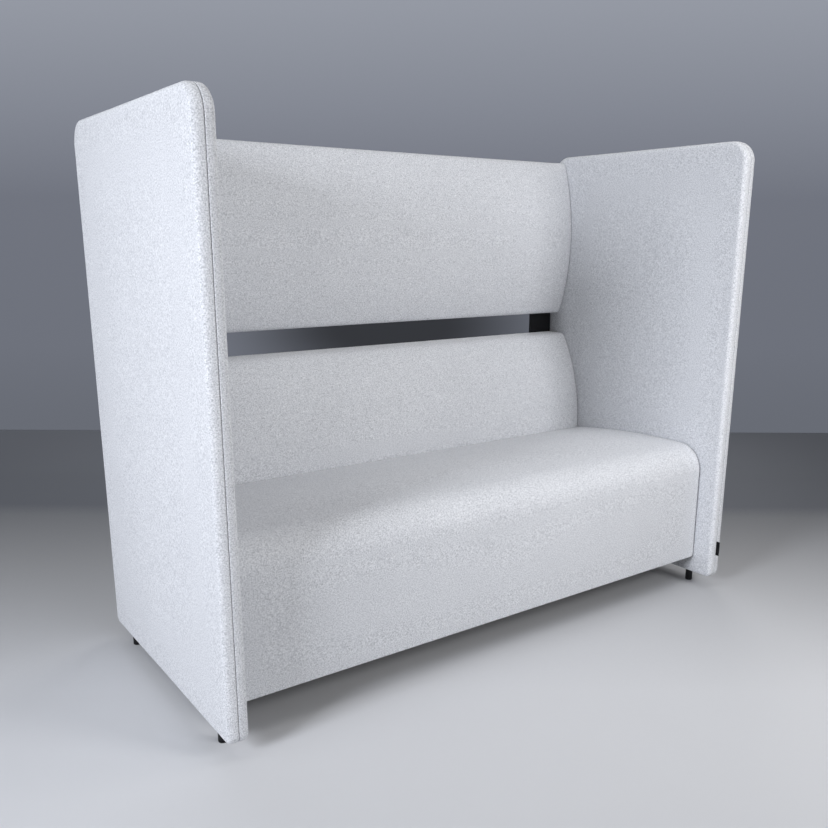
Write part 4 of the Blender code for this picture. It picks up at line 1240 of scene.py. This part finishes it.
lining = lining_sheet()
inset = Vector((STAPLE_INSET, STAPLE_INSET, LINING_THICKNESS))
(left, front, _), (right, rear, staple_z) = LINING_LOW + inset, LINING_HIGH - inset
staple_line = [(x, y, staple_z) for x, y in ((left, front), (right, front), (right, rear), (left, rear))]
staples = grow("lining_staples", staple_tree(), staple_line, Pitch=STAPLE_PITCH, Crown=STAPLE_CROWN,
               Wire=STAPLE_WIRE, Seed=SEED, Finish=FINISHES["zinc_steel"])
print(lining.name, len(lining.data.polygons), "faces")

# %% [markdown]
# ## Seam tab
# A short black tape is folded in half and caught in the front seam of the right screen. It is bare.
# The fold is drawn once as a line that goes out, round and back, and is carried up the tab with a
# slight curl. Solidify gives the tape its thickness.

# %% Tab
TAB_LOW, TAB_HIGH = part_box("seam_tab")
TAPE_THICKNESS = 0.0004
TAB_ROOT = 0.0025
TAB_CURL = 0.0016
CURL_START, CURL_TURN = 0.4, 2.4
FOLD_STEPS = 6
TAB_ROWS = 14


def folded_tape():
    """A tape folded round its front edge, both legs caught in the seam."""
    leg = (TAB_HIGH.x - TAB_LOW.x - TAPE_THICKNESS) / 2
    back_y, fold_y = TAB_HIGH.y + TAB_ROOT, TAB_LOW.y + leg
    shares = [step / FOLD_STEPS for step in range(FOLD_STEPS + 1)]
    outline = [(-leg, back_y + (fold_y - back_y) * share) for share in shares[:-1]]
    outline += [(-leg * math.cos(math.pi * share), fold_y - leg * math.sin(math.pi * share))
                for share in shares]
    outline += [(leg, fold_y + (back_y - fold_y) * share) for share in shares[1:]]
    steps = [math.dist(*pair) for pair in zip(outline, outline[1:])]
    walked = np.concatenate([[0.0], np.cumsum(steps)])
    stands_out = [max(0.0, (TAB_HIGH.y - y) / (TAB_HIGH.y - TAB_LOW.y)) for _, y in outline]
    points, cloth, rows = [], [], []
    for row in range(TAB_ROWS + 1):
        share = row / TAB_ROWS
        z = TAB_LOW.z + share * (TAB_HIGH.z - TAB_LOW.z)
        curl = TAB_CURL * math.sin(CURL_TURN * share + CURL_START)
        add_row(rows, points, [(SEAM_X + x + curl * out ** 2, y, z)
                               for (x, y), out in zip(outline, stands_out)])
        cloth += [(length, z) for length in walked]
    made = sheet_object("seam_tab_tape", points, rows, cloth, FINISHES["tab_fabric"], TAPE_THICKNESS)
    return made, float(walked[-1])


tab, tape_length = folded_tape()
print(tab.name, "tape", round(tape_length * 1000, 1), "mm long")

# %% [markdown]
# ## Levelling feet
# Each foot is a turned shape: a moulded black foot with a softened rim, a groove round its side and a
# slight dish underneath, and a threaded stem that screws up into the sleeve. Rings of points, wider or
# narrower, make it. On the stem each ring's radius also follows the angle, which winds it into a thread.

# %% Feet
FOOT_SIDES = 40
FOOT_SOFT, FOOT_TOP_SOFT = 0.0022, 0.0012
DISH = ((0.25, 0.0008), (0.62, 0.0004), (0.72, 0.0))
GROOVE_DEPTH = 0.0008
GROOVE_HEIGHTS = (0.0055, 0.0060, 0.0066, 0.0071)
FOOT_SHOULDER = 0.6
SOFT_STEPS = 5
STEM_RADIUS, STEM_FILLET, STEM_TIP = 0.0040, 0.0006, 0.0012
STEM_END = 0.001
THREAD_PITCH = 0.00125
THREAD_DEPTH = 0.0006
RINGS_PER_TURN = 4


def foot_profile(radius, height):
    """Radii and heights from the dished base up the side to the foot of the stem."""
    turns = [QUARTER * step / SOFT_STEPS for step in range(SOFT_STEPS + 1)]
    groove = (radius, radius - GROOVE_DEPTH, radius - GROOVE_DEPTH, radius)
    profile = [(radius * share, z) for share, z in DISH]
    profile += [(radius - FOOT_SOFT * (1 - math.sin(t)), FOOT_SOFT * (1 - math.cos(t))) for t in turns]
    profile += [*zip(groove, GROOVE_HEIGHTS), (radius, height * FOOT_SHOULDER)]
    profile += [(radius - FOOT_TOP_SOFT * (1 - math.cos(t)), height - FOOT_TOP_SOFT * (1 - math.sin(t)))
                for t in turns]
    return profile + [(STEM_RADIUS + STEM_FILLET, height), (STEM_RADIUS, height)]


def turned_foot(name, node_name):
    """A foot with a threaded stem, in place of a CAD foot."""
    low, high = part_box(node_name)
    centre_x, centre_y = (low.x + high.x) / 2, (low.y + high.y) / 2
    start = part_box(node_name.replace("foot_", "foot_sleeve_"))[0].z
    rings = [(r, low.z + z, 0.0) for r, z in foot_profile((high.x - low.x) / 2, start - low.z)]
    rise = THREAD_PITCH / RINGS_PER_TURN
    count = int((high.z - STEM_END - start) / rise)
    rings += [(STEM_RADIUS, start + step * rise, THREAD_DEPTH) for step in range(1, count + 1)]
    rings.append((STEM_RADIUS - STEM_TIP, high.z, 0.0))
    points, rows = [], []
    for radius, z, depth in rings:
        ring = []
        for share in np.arange(FOOT_SIDES) / FOOT_SIDES:
            wind = abs(((z - start) / THREAD_PITCH - share) % 1.0 - 0.5) * 2
            reach = radius - depth * wind
            turn = 2 * math.pi * share
            ring.append((centre_x + reach * math.cos(turn), centre_y + reach * math.sin(turn), z))
        add_row(rows, points, ring)
    faces = rows_to_faces(rows, closed=True) + [tuple(rows[0]), tuple(rows[-1])]
    cloth = [point[:2] for point in points]
    return cloth_object(name, points, faces, at_corners(faces, cloth), FINISHES["foot_plastic"])


feet = {}
for end in ("front", "rear"):
    for side_name in SIDES:
        made = turned_foot(f"{end}_{side_name}_turned_foot", f"foot_{end}_{side_name}")
        feet[f"{end}_{side_name}"] = made
        print(made.name, len(made.data.polygons), "faces")

# %% [markdown]
# ## Floor and backdrop
# The sofa stands on a pale floor in front of a grey sheet that curves up far behind it, as in a
# studio. The sheet stands square to the camera, and far enough back to leave the rear in view. A
# wall close behind the sofa would hide it from there, so the floor itself turns grey behind the sofa
# and meets the sheet in the same grey. Both are matt paper, whose colour follows a direction and
# holds painted shade: the floor is painted paler in front and darker behind the sofa, and the sheet
# is painted darker low and paler high. The sheet shows its colours evenly without lighting the sofa,
# as if lamps of its own lit it, and a soft dark patch is painted on it for the sofa's shadow, seen
# through the slot.

# %% Paper
# The floor's stops are painted shade: paler in front, darker behind the sofa, then the grey that meets the
# sheet.
FLOOR_SHADED_COLOURS = (
    (-0.5, (0.670, 0.675, 0.690)), (0.4, (0.480, 0.485, 0.500)), (0.9, (0.360, 0.368, 0.390)),
    (1.05, (0.265, 0.279, 0.311)), (1.5, (0.320, 0.336, 0.375)), (2.5, (0.500, 0.525, 0.585)))
# The sheet's stops are painted shade, darker low and paler high.
BACKDROP_SHADED_COLOURS = (
    (0.0, (0.130, 0.141, 0.168)), (0.4, (0.148, 0.160, 0.193)), (1.35, (0.156, 0.168, 0.204)),
    (1.9, (0.222, 0.238, 0.283)), (2.6, (0.300, 0.320, 0.370)))
BACKDROP_INK = (0.02, 0.02, 0.02)
PAPER_GRAIN, GRAIN_TONE, GRAIN_RELIEF = 0.012, 0.03, 0.0002
PAPER_BOUNCE = 0.90
SHADE_CENTRE, SHADE_SIZE = (-0.28, 0.54), (1.30, 0.55)
SHADE_CORE, SHADE_LIGHT = 0.25, 0.17
AWAY = Vector((math.sin(CAMERA_YAW), math.cos(CAMERA_YAW), 0.0))
ACROSS = Vector((AWAY.y, -AWAY.x, 0.0))


def seen_rays(tree):
    """1 for the rays that show a background: the camera's, and those off gloss or through glass."""
    paths = node(tree, "ShaderNodeLightPath").node.outputs
    seen = calc(tree, "MAXIMUM", paths["Is Camera Ray"], paths["Is Glossy Ray"])
    return calc(tree, "MAXIMUM", seen, paths["Is Transmission Ray"])


def reach_along(tree, place, direction):
    """How far a place lies along a direction, in metres."""
    return node(tree, "ShaderNodeVectorMath", {0: place, 1: direction}, "Value", operation="DOT_PRODUCT")


def sofa_shade(tree, place):
    """1 on the open backdrop, falling off smoothly where the sofa stands in its light."""
    height = node(tree, "ShaderNodeSeparateXYZ", {0: place}, "Z")
    offsets = [calc(tree, "DIVIDE", calc(tree, "SUBTRACT", value, centre), size) for value, centre, size
               in zip((reach_along(tree, place, ACROSS), height), SHADE_CENTRE, SHADE_SIZE)]
    apart = node(tree, "ShaderNodeCombineXYZ", {0: offsets[0], 1: offsets[1]})
    apart = node(tree, "ShaderNodeVectorMath", {0: apart}, "Value", operation="LENGTH")
    return node(tree, "ShaderNodeMapRange", {"Value": apart, "From Min": SHADE_CORE, "To Min": SHADE_LIGHT},
                interpolation_type="SMOOTHSTEP")


def make_paper(name, direction, stops, self_lit=False):
    """Matt paper whose colour and painted shade change along a direction; a stop is (metres, linear
    colour).

    Lit paper sends a little less light back than it shows. Self-lit paper shows its colours evenly,
    apart from the sofa's shade, and sends none back.
    """
    material, tree, shader = start_material(name, Roughness=0.95)
    place = object_place(tree)
    grain = noise(tree, place, 1.0 / PAPER_GRAIN, detail=3.0, roughness=0.6)
    low, high = stops[0][0], stops[-1][0]
    share = node(tree, "ShaderNodeMapRange", {
        "Value": reach_along(tree, place, direction), "From Min": low, "From Max": high})
    share = blend(tree, share, (calc(tree, "SUBTRACT", grain, 0.5), GRAIN_TONE))
    colour = ramp(tree, share, *(((metres - low) / (high - low), tint) for metres, tint in stops))
    seen = seen_rays(tree)
    if self_lit:
        shine = calc(tree, "MULTIPLY", sofa_shade(tree, place), seen)
        look = {"Base Color": (*BACKDROP_INK, 1.0), "Emission Color": colour, "Emission Strength": shine}
    else:
        dim = blend(tree, PAPER_BOUNCE, (seen, 1.0 - PAPER_BOUNCE))
        dimmed = node(tree, "ShaderNodeVectorMath", {0: colour, "Scale": dim}, operation="SCALE")
        look = {"Base Color": dimmed}
    fill(tree, shader, {**look, "Normal": bump(tree, grain, strength=0.2, distance=GRAIN_RELIEF)})
    return material


print("paper for the floor and the backdrop, seen towards", tuple(round(v, 3) for v in AWAY))

# %% Stage
FLOOR_HALF = 18.0
BACKDROP_DISTANCE = 3.4
BACKDROP_HALF_WIDTH = 16.0
BACKDROP_HEIGHT = 4.5
BACKDROP_LIFT = 0.001
COVE_RADIUS = 0.9
COVE_STEPS = 14


def backdrop_sheet():
    """A sheet that lies on the floor, curves up and stands square to the camera's heading."""
    turns = [QUARTER * step / COVE_STEPS for step in range(COVE_STEPS + 1)]
    profile = [(BACKDROP_DISTANCE - COVE_RADIUS * (1 - math.sin(turn)),
                BACKDROP_LIFT + COVE_RADIUS * (1 - math.cos(turn))) for turn in turns]
    profile.append((BACKDROP_DISTANCE, BACKDROP_HEIGHT))
    points, rows = [], []
    for distance, z in profile:
        add_row(rows, points, [AWAY * distance + ACROSS * reach + Vector((0.0, 0.0, z))
                               for reach in (-BACKDROP_HALF_WIDTH, BACKDROP_HALF_WIDTH)])
    paper = make_paper("grey_backdrop", (0.0, 0.0, 1.0), BACKDROP_SHADED_COLOURS, self_lit=True)
    return sheet_object("backdrop", points, rows, [(point.x, point.z) for point in points], paper)


def floor_sheet():
    """A flat floor that reaches well past the picture."""
    ends = (-FLOOR_HALF, FLOOR_HALF)
    points = [(x, y, 0.0) for y in ends for x in ends]
    paper = make_paper("pale_floor", AWAY, FLOOR_SHADED_COLOURS)
    return sheet_object("floor", points, [[0, 1], [2, 3]], [point[:2] for point in points], paper)


floor = floor_sheet()
backdrop = backdrop_sheet()
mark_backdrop(floor, backdrop)
print("stage:", floor.name, backdrop.name)

# %% [markdown]
# ## Light
# Soft light shows cloth best. A wide lamp on the left, a little higher than the sofa, does most of the
# work, as a window would, and the left screen keeps some of it off the seat beside it. Weaker ones
# above the right-hand place, high on the left and in front lift the shadows, and one behind keeps the
# rear from going dark. The world adds an even glow, and shows the camera grey.

# %% Lamps and world
WORLD_GLOW = (0.97, 0.98, 1.00)
WORLD_STRENGTH = 0.18
WORLD_SEEN = (0.23, 0.24, 0.275)
AIM = Vector((0.0, 0.0, 0.65))
# Each lamp: name, place, width and height, watts, colour, and spread in degrees.
LAMPS = (
    ("window", (-3.95, -1.08, 1.75), (1.0, 1.0), 54.5, (0.90, 0.93, 1.00), 120),
    ("ceiling", (0.65, -0.90, 2.80), (0.9, 0.9), 9.5, (1.00, 0.99, 1.00), 180),
    ("skylight", (-1.90, -0.20, 3.60), (0.9, 0.9), 8.0, (0.94, 0.98, 1.00), 180),
    ("front", (0.88, -2.45, 1.50), (0.9, 0.9), 16.5, (0.99, 0.99, 1.00), 120),
    ("rear", (2.60, 2.10, 2.40), (1.6, 1.4), 12.0, (1.00, 0.99, 0.98), 96),
)


def soft_lamp(name, place, size, watts, colour, spread):
    """A wide rectangular lamp that faces the sofa and isn't seen itself."""
    data = bpy.data.lights.new(name, "AREA")
    data.shape = "RECTANGLE"
    data.size, data.size_y = size
    data.energy = watts
    data.color = colour
    data.spread = math.radians(spread)
    lamp = bpy.data.objects.new(name, data)
    lamp.location = place
    lamp.rotation_euler = (AIM - Vector(place)).to_track_quat("-Z", "Y").to_euler()
    lamp.visible_camera = False
    lamp.visible_glossy = False
    scene.collection.objects.link(lamp)


def make_world():
    """An even glow all round, which the camera sees as plain grey."""
    world = bpy.data.worlds.new("studio")
    world.use_nodes = True
    tree = world.node_tree
    tree.nodes.clear()
    glow = node(tree, "ShaderNodeBackground", {"Color": (*WORLD_GLOW, 1.0), "Strength": WORLD_STRENGTH})
    shown = node(tree, "ShaderNodeBackground", {"Color": (*WORLD_SEEN, 1.0), "Strength": 1.0})
    both = node(tree, "ShaderNodeMixShader", {0: seen_rays(tree), 1: glow, 2: shown})
    node(tree, "ShaderNodeOutputWorld", {"Surface": both})
    scene.world = world


for lamp in LAMPS:
    soft_lamp(*lamp)
make_world()
print("lamps:", ", ".join(lamp[0] for lamp in LAMPS))

# %% [markdown]
# ## Joining the frame
# Last, each new piece says which body carries it and which CAD pieces it stands for. Nothing here
# but the feet moves, so all else rides on the sofa.


def join(piece, body, slot, *nodes):
    """Say which body carries a piece and which CAD pieces it stands for; the slot is not used."""
    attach(piece, body)
    if nodes:
        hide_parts(*nodes)


for (side_name, half_name), (piece, _) in screens.items():
    join(piece, "sofa", "cover_fabric",
         f"screen_{side_name}_cover_{half_name}", f"screen_{side_name}_foam_{half_name}")
join(seat, "sofa", "cover_fabric", "seat_cover", "seat_foam_top", "seat_foam_front")
join(lower_back, "sofa", "cover_fabric", "lower_back_cover", "lower_back_foam")
join(upper_back, "sofa", "cover_fabric", "upper_back_cover", "upper_back_foam")
for piece in seam_stitches:
    join(piece, "sofa", "cover_fabric")
join(webbing, "sofa", "webbing", *(f"seat_webbing_{number}" for number in range(1, BANDS + 1)))
join(lining, "sofa", "lining_fabric", "seat_lining")
join(staples, "sofa", "zinc_steel")
join(tab, "sofa", "tab_fabric", "seam_tab")
for corner, piece in feet.items():
    join(piece, f"{corner}_foot", "foot_plastic", f"foot_{corner}")

# %% [markdown]
# ## Size
# Cloth may stand a little proud of the CAD, but the sofa keeps its size. The box round everything but
# the stage is printed.

# %% Write the sizes and finish
low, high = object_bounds()
print("visual from", tuple(round(v, 4) for v in low), "to", tuple(round(v, 4) for v in high))
